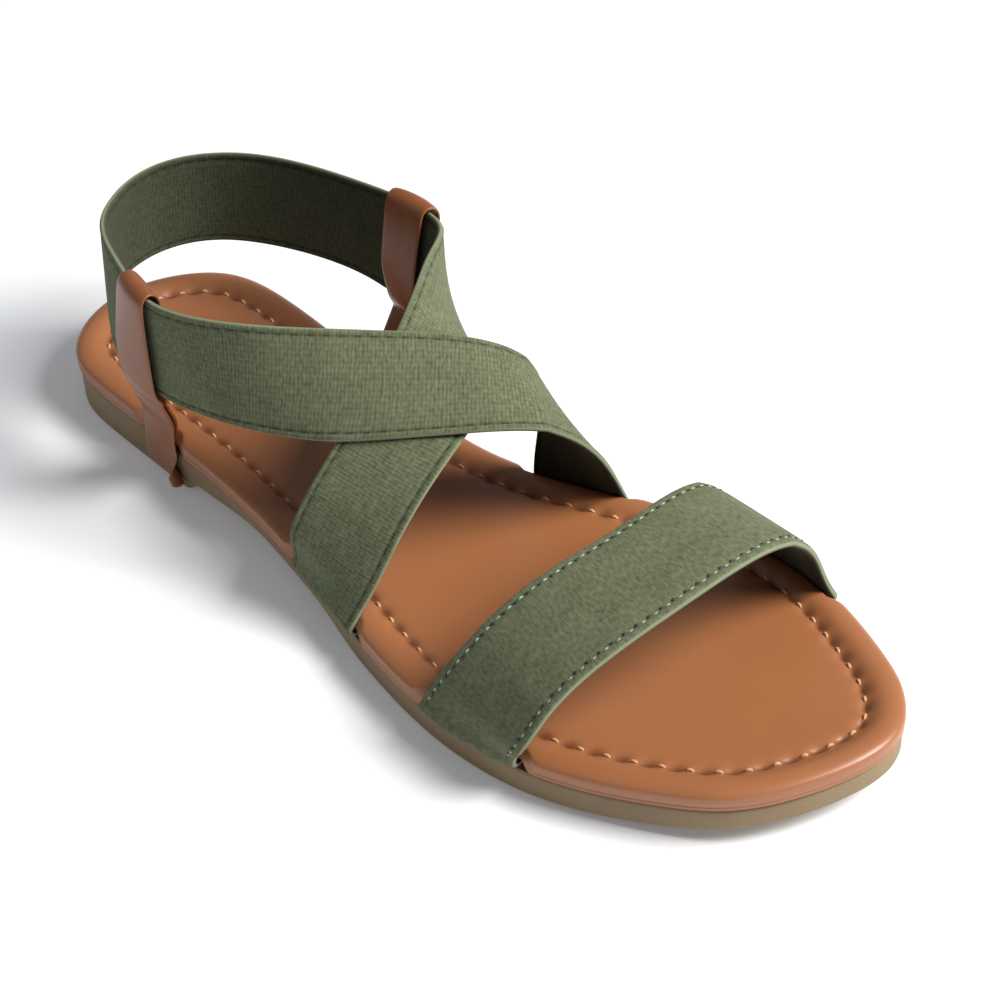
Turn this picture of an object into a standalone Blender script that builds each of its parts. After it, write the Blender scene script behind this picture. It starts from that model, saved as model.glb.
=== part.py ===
"""Right sandal with two crossed elastic bands, a toe band and a flat sole.

The origin is on the floor under the middle of the heel. +Y points to the toe, +X to the outer side
of the foot and +Z up. Sizes are in metres.
"""

import math

import bmesh
import bpy
import numpy as np
from mathutils import Matrix, Vector
from mathutils.bvhtree import BVHTree

MM = 0.001

# Sole: length, the widths of its outline and where the heel's middle lies
LENGTH = 250.0 * MM
BALL_WIDTH = 88.5 * MM
WAIST_WIDTH = 56.0 * MM
HEEL_WIDTH = 57.0 * MM
HEEL_TO_ORIGIN = 30.0 * MM

# Outsole heights above the floor
HEEL_HEIGHT = 10.2 * MM
FOREFOOT_HEIGHT = 6.6 * MM
TOE_SPRING = 4.8 * MM
TOE_THINNING = 1.4 * MM
WAIST_LIFT = 5.6 * MM
OUTSOLE_INSET = 0.6 * MM

# Padded footbed
FOOTBED_THICK = 5.2 * MM
STITCH_INSET = 8.4 * MM
STITCH_DEPTH = 0.8 * MM
GROOVE_REACH = 1.5 * MM

# Elastic bands
BAND_WIDTH = 25.0 * MM
BAND_THICK = 1.6 * MM
TOE_BAND_THICK = 2.2 * MM
INSTEP_HEIGHT = 50.0 * MM
TOE_BAND_HEIGHT = 39.5 * MM
TACK_SIZE = 6.0 * MM

# Leather loops that hold the heel band
LEATHER_THICK = 1.4 * MM
LOOP_WIDTH = 15.5 * MM
TAB_FOOT_WIDTH = 12.0 * MM
TAB_NECK_WIDTH = 11.5 * MM
TAB_NECK_SHIFT = 1.8 * MM
LOOP_BULGE = 1.2 * MM
TAB_THICK = 2.6 * MM
TAB_FOOT_THICK = 1.6 * MM

# Fits
GAP = 0.3 * MM
EDGE_GAP = 0.5 * MM
TUCK_DEPTH = 9.0 * MM
EDGE_PRESS = 1.2 * MM

# Outline of the sole, anticlockwise from the back of the heel. along is a share of LENGTH from the
# back of the heel; across is a share of the named width, plus on the outer side.
OUTLINE = (
    # along, across, width
    (0.000, 0.02, HEEL_WIDTH),
    (0.040, 0.39, HEEL_WIDTH),
    (0.120, 0.49, HEEL_WIDTH),
    (0.250, 0.515, HEEL_WIDTH),
    (0.400, 0.58, WAIST_WIDTH),
    (0.550, 0.454, BALL_WIDTH),
    (0.680, 0.51, BALL_WIDTH),
    (0.800, 0.47, BALL_WIDTH),
    (0.900, 0.347, BALL_WIDTH),
    (0.965, 0.19, BALL_WIDTH),
    (1.000, -0.093, BALL_WIDTH),
    (0.970, -0.27, BALL_WIDTH),
    (0.920, -0.362, BALL_WIDTH),
    (0.830, -0.46, BALL_WIDTH),
    (0.730, -0.483, BALL_WIDTH),
    (0.600, -0.39, BALL_WIDTH),
    (0.450, -0.40, WAIST_WIDTH),
    (0.280, -0.42, HEEL_WIDTH),
    (0.130, -0.477, HEEL_WIDTH),
    (0.040, -0.375, HEEL_WIDTH),
)
HALF_OUTLINE_STEPS = 52

# Height of the outsole's top edge and of its underside, at shares of LENGTH from the back
TOP_LINE = ((0.0, HEEL_HEIGHT), (0.22, HEEL_HEIGHT), (0.55, FOREFOOT_HEIGHT), (1.0, FOREFOOT_HEIGHT))
UNDERSIDE = ((0.0, 0.0), (0.24, 0.0), (0.268, 0.68), (0.36, 1.0), (0.46, 0.70), (0.56, 0.0), (1.0, 0.0))
SPRING_START = 0.72

# Edge profile of the outsole from the floor up: how far inside the outline, and the share of its
# own height there
OUTSOLE_EDGE = (
    # inset, share of height
    (4.2 * MM, 0.0),
    (0.7 * MM, 0.0),
    (0.25 * MM, 0.06),
    (0.0, 0.18),
    (0.0, 0.86),
    (0.35 * MM, 1.0),
)

# Edge profile of the footbed from its underside up: inset, and the share of FOOTBED_THICK
FOOTBED_EDGE = (
    # inset, share of thickness
    (12.0 * MM, 0.0),
    (1.3 * MM, 0.0),
    (0.5 * MM, 0.08),
    (0.15 * MM, 0.20),
    (0.35 * MM, 0.27),
    (-0.15 * MM, 0.42),
    (-0.2 * MM, 0.60),
    (0.4 * MM, 0.80),
    (1.7 * MM, 0.95),
    (3.4 * MM, 1.02),
    (5.4 * MM, 0.97),
)
INNER_RISE = 0.78
STITCH_GROOVE = (
    # reach from the stitch line, share of thickness, share of the stitch depth
    (-GROOVE_REACH, 0.87, 0.2),
    (0.0, INNER_RISE, 1.0),
    (GROOVE_REACH, INNER_RISE, 0.2),
    (3.0 * GROOVE_REACH, INNER_RISE, 0.0),
)
CAP_ACROSS = 6

# Where each strap's foot meets the sole's edge, from its rear to its front corner, as shares of LENGTH
CROSS_FEET = {"outer": (0.440, 0.549), "inner": (0.506, 0.598)}
TOE_FEET = {"outer": (0.665, 0.776), "inner": (0.724, 0.830)}
TAB_MIDDLE = {"outer": 0.211, "inner": 0.320}

# How a strap's foot leans in over the padded edge, above its bend
FOOT_LEAN = (
    # share of FOOTBED_THICK, lean
    (0.65, 0.5 * MM),
    (1.0, 2.0 * MM),
)
FOOT_STIFFNESS = 0.7

# The crossed band, one row for each place along it. across is a share of BALL_WIDTH, along of
# LENGTH, height of INSTEP_HEIGHT, and lean turns the band about its own length, in degrees.
CROSS_PATH = (
    # across, along, height, lean
    (0.450, 0.490, 0.16, 0),
    (0.412, 0.506, 0.40, 10),
    (0.237, 0.510, 0.75, 16),
    (-0.030, 0.485, 0.95, 20),
    (-0.246, 0.417, 0.97, 28),
    (-0.392, 0.337, 0.87, 38),
    (-0.420, 0.210, 0.81, 22),
    (-0.303, 0.086, 0.80, 5),
    (-0.083, 0.042, 0.82, 0),
    (0.147, 0.076, 0.86, -3),
    (0.292, 0.152, 0.90, 7),
    (0.362, 0.242, 0.90, 20),
    (0.322, 0.356, 0.98, 23),
    (0.119, 0.460, 0.99, 26),
    (-0.113, 0.534, 0.95, 33),
    (-0.288, 0.564, 0.69, 18),
    (-0.356, 0.560, 0.20, 0),
)
LOOP_PLACES = {"inner": 5.40, "outer": 10.8}
HEEL_TURN = (60.0 * MM, 40.0 * MM)
HEEL_AXIS = 50.0 * MM
HEEL_ROUNDNESS = 0.8
FOOT_AXIS_HEIGHT = 0.6
LOWER_PASS = (1.2, 4.8)
UPPER_PASS = (11.6, 15.2)
DRAPE_ROUNDS = 40
DRAPE_HOLD = 0.97

# The toe band; height is a share of TOE_BAND_HEIGHT
TOE_PATH = (
    # across, along, height, lean
    (0.520, 0.722, 0.20, -4),
    (0.503, 0.740, 0.46, -8),
    (0.333, 0.758, 0.81, -8),
    (0.057, 0.778, 0.99, -2),
    (-0.198, 0.782, 1.00, 0),
    (-0.379, 0.777, 0.75, 1),
    (-0.463, 0.777, 0.31, 4),
)
TOE_BAND_WIDTH = 28.0 * MM
TOE_AXIS_HEIGHT = 0.3

STATIONS_PER_ROW = 6
ACROSS_STEPS = 4
FOOT_BLEND_STEPS = 5
FOOT_BEND_STEPS = 4
RELAX_REACH = 3
RELAX_ROUNDS = 12
LOOP_STEPS = 32
LOOP_ROWS = 4
LOOP_SQUARENESS = 6.0


def smooth(value):
    """Smooth step from 0 to 1."""
    share = min(1.0, max(0.0, value))
    return share * share * (3.0 - 2.0 * share)


class Spline:
    """Cubic spline through points, one unit of its parameter for each span."""

    def __init__(self, points, closed=False):
        self.points = np.array(points, float)
        self.closed = closed
        count = len(self.points)
        matrix = np.zeros((count, count))
        right = np.zeros_like(self.points)
        for i in range(count):
            if not closed and i in (0, count - 1):
                matrix[i, i] = 1.0
                continue
            before, after = (i - 1) % count, (i + 1) % count
            matrix[i, before] += 1.0
            matrix[i, i] += 4.0
            matrix[i, after] += 1.0
            right[i] = 6.0 * (self.points[before] - 2.0 * self.points[i] + self.points[after])
        self.bend = np.linalg.solve(matrix, right)

    def at(self, u):
        count = len(self.points)
        last = count if self.closed else count - 1
        u = u % last if self.closed else min(max(u, 0.0), last)
        i = min(int(u), last - 1)
        j = (i + 1) % count
        b = u - i
        a = 1.0 - b
        bend = ((a**3 - a) * self.bend[i] + (b**3 - b) * self.bend[j]) / 6.0
        return a * self.points[i] + b * self.points[j] + bend


def line_height(table, share):
    """Height of a profile at a share of the length, eased between its rows."""
    for (start, low), (end, high) in zip(table, table[1:]):
        if share <= end:
            return low + (high - low) * smooth((share - start) / (end - start))
    return table[-1][1]


def toe_rise(y, height):
    """How far the front of the sole curves up, to height at its tip."""
    share = (y + HEEL_TO_ORIGIN) / LENGTH
    past = max(0.0, share - SPRING_START) / (1.0 - SPRING_START)
    return height * past * past


def outsole_top(y):
    return line_height(TOP_LINE, (y + HEEL_TO_ORIGIN) / LENGTH) + toe_rise(y, TOE_SPRING)


def outsole_bottom(y):
    share = (y + HEEL_TO_ORIGIN) / LENGTH
    return WAIST_LIFT * line_height(UNDERSIDE, share) + toe_rise(y, TOE_SPRING + TOE_THINNING)


def footbed_bottom(y):
    return outsole_top(y) + GAP


def sole_outline():
    """Points round the outline with their outward normals, heel first, outer side first."""
    spline = Spline([(across * width, along * LENGTH) for along, across, width in OUTLINE], True)
    fine = 40 * len(OUTLINE)
    dense = np.array([spline.at(len(OUTLINE) * i / fine) for i in range(fine)])
    dense[:, 1] -= HEEL_TO_ORIGIN
    dense = np.roll(dense, -int(dense[:, 1].argmin()), axis=0)
    toe = int(dense[:, 1].argmax())
    sides = (dense[: toe + 1], np.vstack([dense[toe:], dense[:1]]))
    points = []
    for side in sides:
        steps = np.hypot(*np.diff(side, axis=0).T)
        length = np.concatenate([[0.0], np.cumsum(steps)])
        wanted = np.linspace(0.0, length[-1], HALF_OUTLINE_STEPS + 1)[:-1]
        points.append(np.column_stack([np.interp(wanted, length, side[:, k]) for k in (0, 1)]))
    ring = np.vstack(points)
    tangent = np.roll(ring, -1, axis=0) - np.roll(ring, 1, axis=0)
    normal = np.column_stack([tangent[:, 1], -tangent[:, 0]])
    return ring, normal / np.linalg.norm(normal, axis=1)[:, None]


OUTLINE_RING, OUTLINE_NORMALS = sole_outline()


def edge_point(side, y, outset):
    """Point beside the sole's edge at y, outset from the outline along its normal."""
    half = slice(0, HALF_OUTLINE_STEPS + 1) if side == "outer" else slice(HALF_OUTLINE_STEPS, None)
    ring = OUTLINE_RING[half]
    order = np.argsort(ring[:, 1])
    found = [
        float(np.interp(y, ring[order, 1], values[half][order, k]))
        for values in (OUTLINE_RING, OUTLINE_NORMALS)
        for k in (0, 1)
    ]
    return found[0] + outset * found[2], y + outset * found[3]


def material(name, colour, roughness):
    made = bpy.data.materials.new(name)
    made.use_nodes = True
    shader = made.node_tree.nodes["Principled BSDF"]
    shader.inputs["Base Color"].default_value = (*colour, 1.0)
    shader.inputs["Roughness"].default_value = roughness
    shader.inputs["Metallic"].default_value = 0.0
    return made


def new_object(name, mesh_maker, finish):
    """Object from a bmesh filled by mesh_maker, with its faces pointing out."""
    bm = bmesh.new()
    mesh_maker(bm)
    bmesh.ops.recalc_face_normals(bm, faces=bm.faces)
    mesh = bpy.data.meshes.new(name)
    bm.to_mesh(mesh)
    bm.free()
    obj = bpy.data.objects.new(name, mesh)
    bpy.context.scene.collection.objects.link(obj)
    mesh.materials.append(finish)
    mesh.shade_smooth()
    mesh.set_sharp_from_angle(angle=math.radians(50))
    return obj


def helper(obj):
    """Marks a cutter or a filler that a Boolean reads."""
    obj.hide_render = True
    obj.display_type = "WIRE"
    return obj


def boolean(obj, other, operation):
    modifier = obj.modifiers.new(operation.title(), "BOOLEAN")
    modifier.operation = operation
    modifier.solver = "EXACT"
    modifier.object = other


def ring_verts(bm, inset, height):
    flat = OUTLINE_RING - OUTLINE_NORMALS * inset
    return [bm.verts.new((x, y, height(y))) for x, y in flat]


def bridge(bm, first, second):
    count = len(first)
    for i in range(count):
        j = (i + 1) % count
        bm.faces.new((first[i], first[j], second[j], second[i]))


def cap(bm, ring, height):
    """Closes a ring with strips across, whose inner points lie at height(y)."""
    count = len(ring)
    toe = count // 2
    rows = []
    for i in range(1, toe):
        a, b = ring[i], ring[count - i]
        row = [a]
        for k in range(1, CAP_ACROSS):
            x, y, _ = a.co.lerp(b.co, k / CAP_ACROSS)
            row.append(bm.verts.new((x, y, height(y))))
        rows.append([*row, b])
    for low, high in zip(rows, rows[1:]):
        for k in range(CAP_ACROSS):
            bm.faces.new((low[k], low[k + 1], high[k + 1], high[k]))
    for end, row in ((ring[0], rows[0]), (ring[toe], rows[-1])):
        for k in range(CAP_ACROSS):
            bm.faces.new((end, row[k], row[k + 1]))


def outsole(bm):
    rings = []
    for inset, share in OUTSOLE_EDGE:
        def height(y, share=share):
            return outsole_bottom(y) + share * (outsole_top(y) - outsole_bottom(y))

        rings.append(ring_verts(bm, OUTSOLE_INSET + inset, height))
    for first, second in zip(rings, rings[1:]):
        bridge(bm, first, second)
    cap(bm, rings[0], outsole_bottom)
    cap(bm, rings[-1], outsole_top)


def footbed(bm):
    profile = [(inset, share, 0.0) for inset, share in FOOTBED_EDGE]
    profile += [(STITCH_INSET + reach, share, dip) for reach, share, dip in STITCH_GROOVE]
    rings = []
    for inset, share, dip in profile:
        def height(y, share=share, dip=dip):
            return footbed_bottom(y) + share * FOOTBED_THICK - dip * STITCH_DEPTH

        rings.append(ring_verts(bm, inset, height))
    for first, second in zip(rings, rings[1:]):
        bridge(bm, first, second)
    cap(bm, rings[0], footbed_bottom)
    cap(bm, rings[-1], lambda y: footbed_bottom(y) + INNER_RISE * FOOTBED_THICK)


def path_spline(table, height):
    return Spline(
        [
            (across * BALL_WIDTH, along * LENGTH - HEEL_TO_ORIGIN, share * height, math.radians(lean))
            for across, along, share, lean in table
        ]
    )


def band_frame(spline, u, axis_height):
    """Middle of the band at u, its direction of travel, its rear or upper side and its outside."""
    here = spline.at(u)
    step = 0.01
    travel = Vector(spline.at(u + step)[:3] - spline.at(u - step)[:3]).normalized()
    middle = Vector(here[:3])
    outside = Vector((middle.x, 0.0, middle.z - axis_height)).normalized()
    turn = smooth((HEEL_TURN[0] - HEEL_TO_ORIGIN - middle.y) / HEEL_TURN[1])
    backward = HEEL_ROUNDNESS * (middle.y - HEEL_AXIS + HEEL_TO_ORIGIN)
    outside = outside.lerp(Vector((middle.x, backward, 0.0)).normalized(), turn)
    outside = (outside - travel * outside.dot(travel)).normalized()
    side = outside.cross(travel)
    lean = here[3]
    rear = side * math.cos(lean) + outside * math.sin(lean)
    return middle, travel, rear, travel.cross(rear)


def foot_profile(thick):
    """Outset and height over the footbed's seat along a strap's foot, from its hidden end up."""
    bend = thick / 2 + GAP + EDGE_GAP / 2
    outset = thick / 2 + EDGE_GAP - EDGE_PRESS
    seat = thick / 2
    rows = [(-TUCK_DEPTH, seat)]
    for i in range(FOOT_BEND_STEPS + 1):
        angle = math.pi / 2 * i / FOOT_BEND_STEPS
        rows.append((outset - bend + bend * math.sin(angle), seat + bend * (1.0 - math.cos(angle))))
    for share, lean in FOOT_LEAN:
        rows.append((outset - lean, share * FOOTBED_THICK))
    return rows


def foot_rows(side, corners, thick):
    """Rows of mid-surface points of a strap's foot, from under the footbed up its side."""
    shares = np.linspace(corners[0], corners[1], ACROSS_STEPS + 1)
    rows = []
    for outset, rise in foot_profile(thick):
        row = []
        for share in shares:
            y = share * LENGTH - HEEL_TO_ORIGIN
            x, shifted = edge_point(side, y, outset)
            row.append(Vector((x, shifted, outsole_top(y) + GAP + rise)))
        rows.append(row)
    return rows


def band_row(spline, u, width, axis_height):
    middle, _, rear, _ = band_frame(spline, u, axis_height)
    return [
        middle + rear * width * (0.5 - k / ACROSS_STEPS)
        for k in range(ACROSS_STEPS + 1)
    ]


def rise_to(low, leave, high, arrive, share):
    """Point on a curve that leaves low along leave and reaches high along arrive."""
    reach = (high - low).length
    a, b = share * share, share * share * share
    return (
        low * (2 * b - 3 * a + 1)
        + leave * FOOT_STIFFNESS * reach * (b - 2 * a + share)
        + high * (3 * a - 2 * b)
        + arrive * reach * (b - a)
    )


def headings(rows):
    """Directions from each point of the last row but one to the last row."""
    return [(b - a).normalized() for a, b in zip(rows[-2], rows[-1])]


def relaxed(rows, first, last):
    """Rows whose points between two rows are evened out along the strap, as taut cloth lies."""
    grid = np.array(rows, float)
    for _ in range(RELAX_ROUNDS):
        ahead, behind = grid[first + 1 : last + 1], grid[first - 1 : last - 1]
        grid[first:last] = (behind + 2 * grid[first:last] + ahead) / 4
    return [[Vector(point) for point in row] for row in grid]


def strap_grid(table, height, axis_share, width, thick, feet):
    """Mid-surface grid of a strap from its outer foot over the foot to its inner foot, and each
    row's place along the path."""
    spline = path_spline(table, height)
    axis_height = axis_share * height
    last = len(table) - 1
    halves = []
    for side, start, step in (("outer", 0.0, 1.0), ("inner", float(last), -1.0)):
        rows = foot_rows(side, feet[side], thick)
        places = [start] * len(rows)
        free = band_row(spline, start + step, width, axis_height)
        beyond = band_row(spline, start + 1.05 * step, width, axis_height)
        ends = list(zip(rows[-1], headings(rows), free, headings([free, beyond])))
        for i in range(1, FOOT_BLEND_STEPS + 1):
            share = i / (FOOT_BLEND_STEPS + 1)
            rows.append([rise_to(*end, share) for end in ends])
            places.append(start + step * share)
        halves.append((rows, places))
    (first, first_places), (second, second_places) = halves
    count = (last - 2) * STATIONS_PER_ROW
    places = [1.0 + (last - 2) * i / count for i in range(count + 1)]
    middle = [band_row(spline, u, width, axis_height) for u in places]
    grid = first + middle + second[::-1]
    start = len(foot_profile(thick)) - 1
    end = len(first) + RELAX_REACH
    grid = relaxed(grid, start, end)
    grid = relaxed(grid, len(grid) - end, len(grid) - start)
    return grid, first_places + places + second_places[::-1]


def grid_normals(grid):
    rows, columns = len(grid), len(grid[0])
    normals = []
    for i in range(rows):
        line = []
        for k in range(columns):
            along = grid[min(i + 1, rows - 1)][k] - grid[max(i - 1, 0)][k]
            across = grid[i][min(k + 1, columns - 1)] - grid[i][max(k - 1, 0)]
            line.append(across.cross(along).normalized())
        normals.append(line)
    return normals


def slab(bm, grid, thicks):
    """Closed solid round a mid-surface grid; thicks holds one thickness for each row."""
    normals = grid_normals(grid)
    rings = []
    for row, line, thick in zip(grid, normals, thicks):
        upper = [bm.verts.new(p + n * thick / 2) for p, n in zip(row, line)]
        lower = [bm.verts.new(p - n * thick / 2) for p, n in zip(row, line)]
        rings.append(upper + lower[::-1])
    for first, second in zip(rings, rings[1:]):
        bridge(bm, first, second)
    columns = len(grid[0])
    for ring in (rings[0], rings[-1]):
        for k in range(columns - 1):
            bm.faces.new((ring[k], ring[k + 1], ring[-2 - k], ring[-1 - k]))


def drape_upper_pass(grid, places, thick):
    """Lifts the upper pass of the crossed band until it lies on the lower pass."""
    under = [row for row, u in zip(grid, places) if LOWER_PASS[0] <= u <= LOWER_PASS[1]]
    columns = len(grid[0])
    points = [p for row in under for p in row]
    faces = [
        (i * columns + k, i * columns + k + 1, (i + 1) * columns + k + 1, (i + 1) * columns + k)
        for i in range(len(under) - 1)
        for k in range(columns - 1)
    ]
    tree = BVHTree.FromPolygons(points, faces)
    normals = grid_normals(grid)
    reach = BAND_WIDTH
    over = [i for i, u in enumerate(places) if UPPER_PASS[0] <= u <= UPPER_PASS[1]]
    needed = np.zeros((len(over), columns))
    for row, i in enumerate(over):
        for k in range(columns):
            outward = normals[i][k]
            if outward.z < 0.0:
                outward = -outward
            hit = tree.ray_cast(grid[i][k] + outward * reach, -outward, 2 * reach)
            if hit[0] is not None:
                needed[row, k] = max(0.0, reach - hit[3] + thick + GAP)
    lift = needed.copy()
    for _ in range(DRAPE_ROUNDS):
        spread = lift.copy()
        spread[1:-1] = 0.25 * lift[:-2] + 0.5 * lift[1:-1] + 0.25 * lift[2:]
        spread[:, 1:-1] = 0.5 * spread[:, 1:-1] + 0.25 * (spread[:, :-2] + spread[:, 2:])
        lift = np.maximum(needed, DRAPE_HOLD * spread)
    for row, i in enumerate(over):
        for k in range(columns):
            outward = normals[i][k]
            if outward.z < 0.0:
                outward = -outward
            grid[i][k] = grid[i][k] + outward * lift[row, k]


def middle_points(grid, places, span):
    """Points on the band's middle line within a span of its path."""
    return [row[ACROSS_STEPS // 2] for row, u in zip(grid, places) if span[0] <= u <= span[1]]


def crossing_points(grid, places):
    """The nearest pair of points on the middle lines of the upper and the lower pass."""
    pairs = [
        (upper, lower)
        for upper in middle_points(grid, places, UPPER_PASS)
        for lower in middle_points(grid, places, LOWER_PASS)
    ]
    return min(pairs, key=lambda pair: (pair[0] - pair[1]).length)


def cross_band(finish):
    """The crossed band, joined to itself where it crosses by a small tack of stitching."""
    grid, places = strap_grid(
        CROSS_PATH, INSTEP_HEIGHT, FOOT_AXIS_HEIGHT, BAND_WIDTH, BAND_THICK, CROSS_FEET
    )
    drape_upper_pass(grid, places, BAND_THICK)
    band = new_object("cross_band", lambda bm: slab(bm, grid, [BAND_THICK] * len(grid)), finish)
    upper, lower = crossing_points(grid, places)

    def tack(bm):
        bmesh.ops.create_cube(bm, size=1.0)
        depth = (upper - lower).length
        bmesh.ops.scale(bm, vec=(TACK_SIZE, TACK_SIZE, depth), verts=bm.verts)
        turn = (upper - lower).to_track_quat("Z", "Y").to_matrix().to_4x4()
        place = Matrix.Translation((upper + lower) / 2)
        bmesh.ops.transform(bm, matrix=place @ turn, verts=bm.verts)

    boolean(band, helper(new_object("tack", tack, finish)), "UNION")
    return band


def toe_band(finish):
    grid, _ = strap_grid(
        TOE_PATH, TOE_BAND_HEIGHT, TOE_AXIS_HEIGHT, TOE_BAND_WIDTH, TOE_BAND_THICK, TOE_FEET
    )
    return new_object("toe_band", lambda bm: slab(bm, grid, [TOE_BAND_THICK] * len(grid)), finish)


def loop_ring(bm, spline, place, axis_height):
    """Leather loop round the band, open from end to end and curved as the band is."""
    inner = (BAND_THICK / 2 + LOOP_BULGE, BAND_WIDTH / 2 + EDGE_GAP)
    outer = (inner[0] + LEATHER_THICK, inner[1] + LEATHER_THICK)
    speed = (spline.at(place + 0.1)[:3] - spline.at(place - 0.1)[:3]) / 0.2
    reach = LOOP_WIDTH / 2 / float(np.linalg.norm(speed))
    tubes = []
    for wide, high in (inner, outer):
        rings = []
        for j in range(LOOP_ROWS + 1):
            u = place + reach * (2.0 * j / LOOP_ROWS - 1.0)
            middle, _, upward, outward = band_frame(spline, u, axis_height)
            ring = []
            for i in range(LOOP_STEPS):
                angle = 2 * math.pi * i / LOOP_STEPS
                power = 2.0 / LOOP_SQUARENESS
                c, s = math.cos(angle), math.sin(angle)
                out = math.copysign(abs(c) ** power, c) * wide
                up = math.copysign(abs(s) ** power, s) * high
                ring.append(bm.verts.new(middle + outward * out + upward * up))
            rings.append(ring)
        for first, second in zip(rings, rings[1:]):
            bridge(bm, first, second)
        tubes.append(rings)
    for end in (0, -1):
        bridge(bm, tubes[0][end], tubes[1][end])


def tab_corners(side):
    half = TAB_FOOT_WIDTH / LENGTH / 2
    return TAB_MIDDLE[side] - half, TAB_MIDDLE[side] + half


def heel_loop(side, finish):
    """Leather loop and its tab, which runs down the sole's edge and under the footbed."""
    spline = path_spline(CROSS_PATH, INSTEP_HEIGHT)
    axis_height = FOOT_AXIS_HEIGHT * INSTEP_HEIGHT
    middle, travel, upward, _ = band_frame(spline, LOOP_PLACES[side], axis_height)
    forward = travel if travel.y > 0.0 else -travel
    name = f"heel_loop_{side}"
    place = LOOP_PLACES[side]
    ring = new_object(name, lambda bm: loop_ring(bm, spline, place, axis_height), finish)

    rows = foot_rows(side, tab_corners(side), TAB_FOOT_THICK)
    thicks = [TAB_FOOT_THICK] * len(rows)
    reach = BAND_WIDTH / 2 + EDGE_GAP + LEATHER_THICK / 2
    neck = middle - upward * reach + forward * TAB_NECK_SHIFT
    ends = []
    for k, (low, leave) in enumerate(zip(rows[-1], headings(rows))):
        high = neck + forward * TAB_NECK_WIDTH * (k / ACROSS_STEPS - 0.5)
        ends.append((low, leave, high, upward))
    for i in range(1, FOOT_BLEND_STEPS + 2):
        share = i / (FOOT_BLEND_STEPS + 1)
        rows.append([rise_to(*end, share) for end in ends])
        thicks.append(TAB_FOOT_THICK + (TAB_THICK - TAB_FOOT_THICK) * smooth(2 * share))
    rows = relaxed(rows, len(foot_profile(TAB_FOOT_THICK)) - 1, len(rows) - 1)
    tab = helper(new_object(f"tab_{side}", lambda bm: slab(bm, rows, thicks), finish))
    boolean(ring, tab, "UNION")
    return ring


def foot_cutter(name, side, corners, thick, finish):
    """Room for a strap's foot in the footbed's underside."""
    spare = 2 * GAP / LENGTH
    wide = (corners[0] - spare, corners[1] + spare)
    rows = foot_rows(side, wide, thick)
    deeper = [a + (a - b).normalized() * GAP for a, b in zip(rows[0], rows[1])]
    higher = [a + heading * FOOTBED_THICK / 2 for a, heading in zip(rows[-1], headings(rows))]
    rows = [deeper, *rows, higher]
    return helper(new_object(name, lambda bm: slab(bm, rows, [thick + 2 * GAP] * len(rows)), finish))


def build():
    for obj in list(bpy.data.objects):
        bpy.data.objects.remove(obj)
    tan = material("tan_leatherette", (0.43, 0.16, 0.065), 0.42)
    olive = material("olive_elastic", (0.15, 0.16, 0.10), 0.85)
    rubber = material("taupe_rubber", (0.22, 0.15, 0.09), 0.6)

    new_object("outsole", outsole, rubber)
    bed = new_object("footbed", footbed, tan)
    for side in ("outer", "inner"):
        for strap, corners, thick in (
            ("cross", CROSS_FEET[side], BAND_THICK),
            ("toe", TOE_FEET[side], TOE_BAND_THICK),
            ("tab", tab_corners(side), TAB_FOOT_THICK),
        ):
            cutter = foot_cutter(f"cut_{strap}_{side}", side, corners, thick, tan)
            boolean(bed, cutter, "DIFFERENCE")
        heel_loop(side, tan)
    cross_band(olive)
    toe_band(olive)


build()
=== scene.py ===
"""The looks of a right sandal with crossed elastic bands, a toe band and a flat sole."""

import math

import bpy
import numpy as np
from mathutils import Matrix, Vector
from mathutils.bvhtree import BVHTree


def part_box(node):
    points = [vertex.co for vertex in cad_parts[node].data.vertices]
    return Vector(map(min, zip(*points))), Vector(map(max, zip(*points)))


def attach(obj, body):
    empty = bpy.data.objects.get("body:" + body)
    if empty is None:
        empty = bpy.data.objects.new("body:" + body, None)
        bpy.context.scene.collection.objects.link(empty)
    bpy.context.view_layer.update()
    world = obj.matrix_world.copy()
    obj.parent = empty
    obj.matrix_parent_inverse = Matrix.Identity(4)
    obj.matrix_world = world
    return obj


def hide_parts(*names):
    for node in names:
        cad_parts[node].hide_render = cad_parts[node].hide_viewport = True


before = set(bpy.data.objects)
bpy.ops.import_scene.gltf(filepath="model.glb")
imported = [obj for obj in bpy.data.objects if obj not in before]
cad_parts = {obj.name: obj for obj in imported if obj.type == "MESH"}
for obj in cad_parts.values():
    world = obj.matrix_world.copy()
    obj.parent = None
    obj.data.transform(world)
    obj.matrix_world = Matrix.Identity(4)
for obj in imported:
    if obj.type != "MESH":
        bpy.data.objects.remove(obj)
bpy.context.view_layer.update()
MM = 0.001


# Camera, floor and light
# The sandal is seen from above its outer toe end, with the camera slightly rolled. One soft lamp
# hangs high over the inner side of the toe, so the shadow falls past the outer side and the heel.
CAMERA_AZIMUTH = math.radians(139.55)
CAMERA_ELEVATION = math.radians(39.2)
CAMERA_ROLL = math.radians(-3.77)
CAMERA_DISTANCE = 648.6 * MM
CAMERA_AIM = Vector((-13.2, 98.3, 10.0)) * MM
LENS_MM = 100.05
SENSOR_MM = 36.0
FLOOR_SIZE = 8.0
LAMP_SIZE = 0.78
LAMP_AIM = Vector((0.0, 0.10, 0.02))
LAMP_PLACE = Vector((-0.65, 1.03, 1.16))
LAMP_POWER = 41.0
SKY_STRENGTH = 0.24
PAPER_GLOW = 0.12


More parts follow.
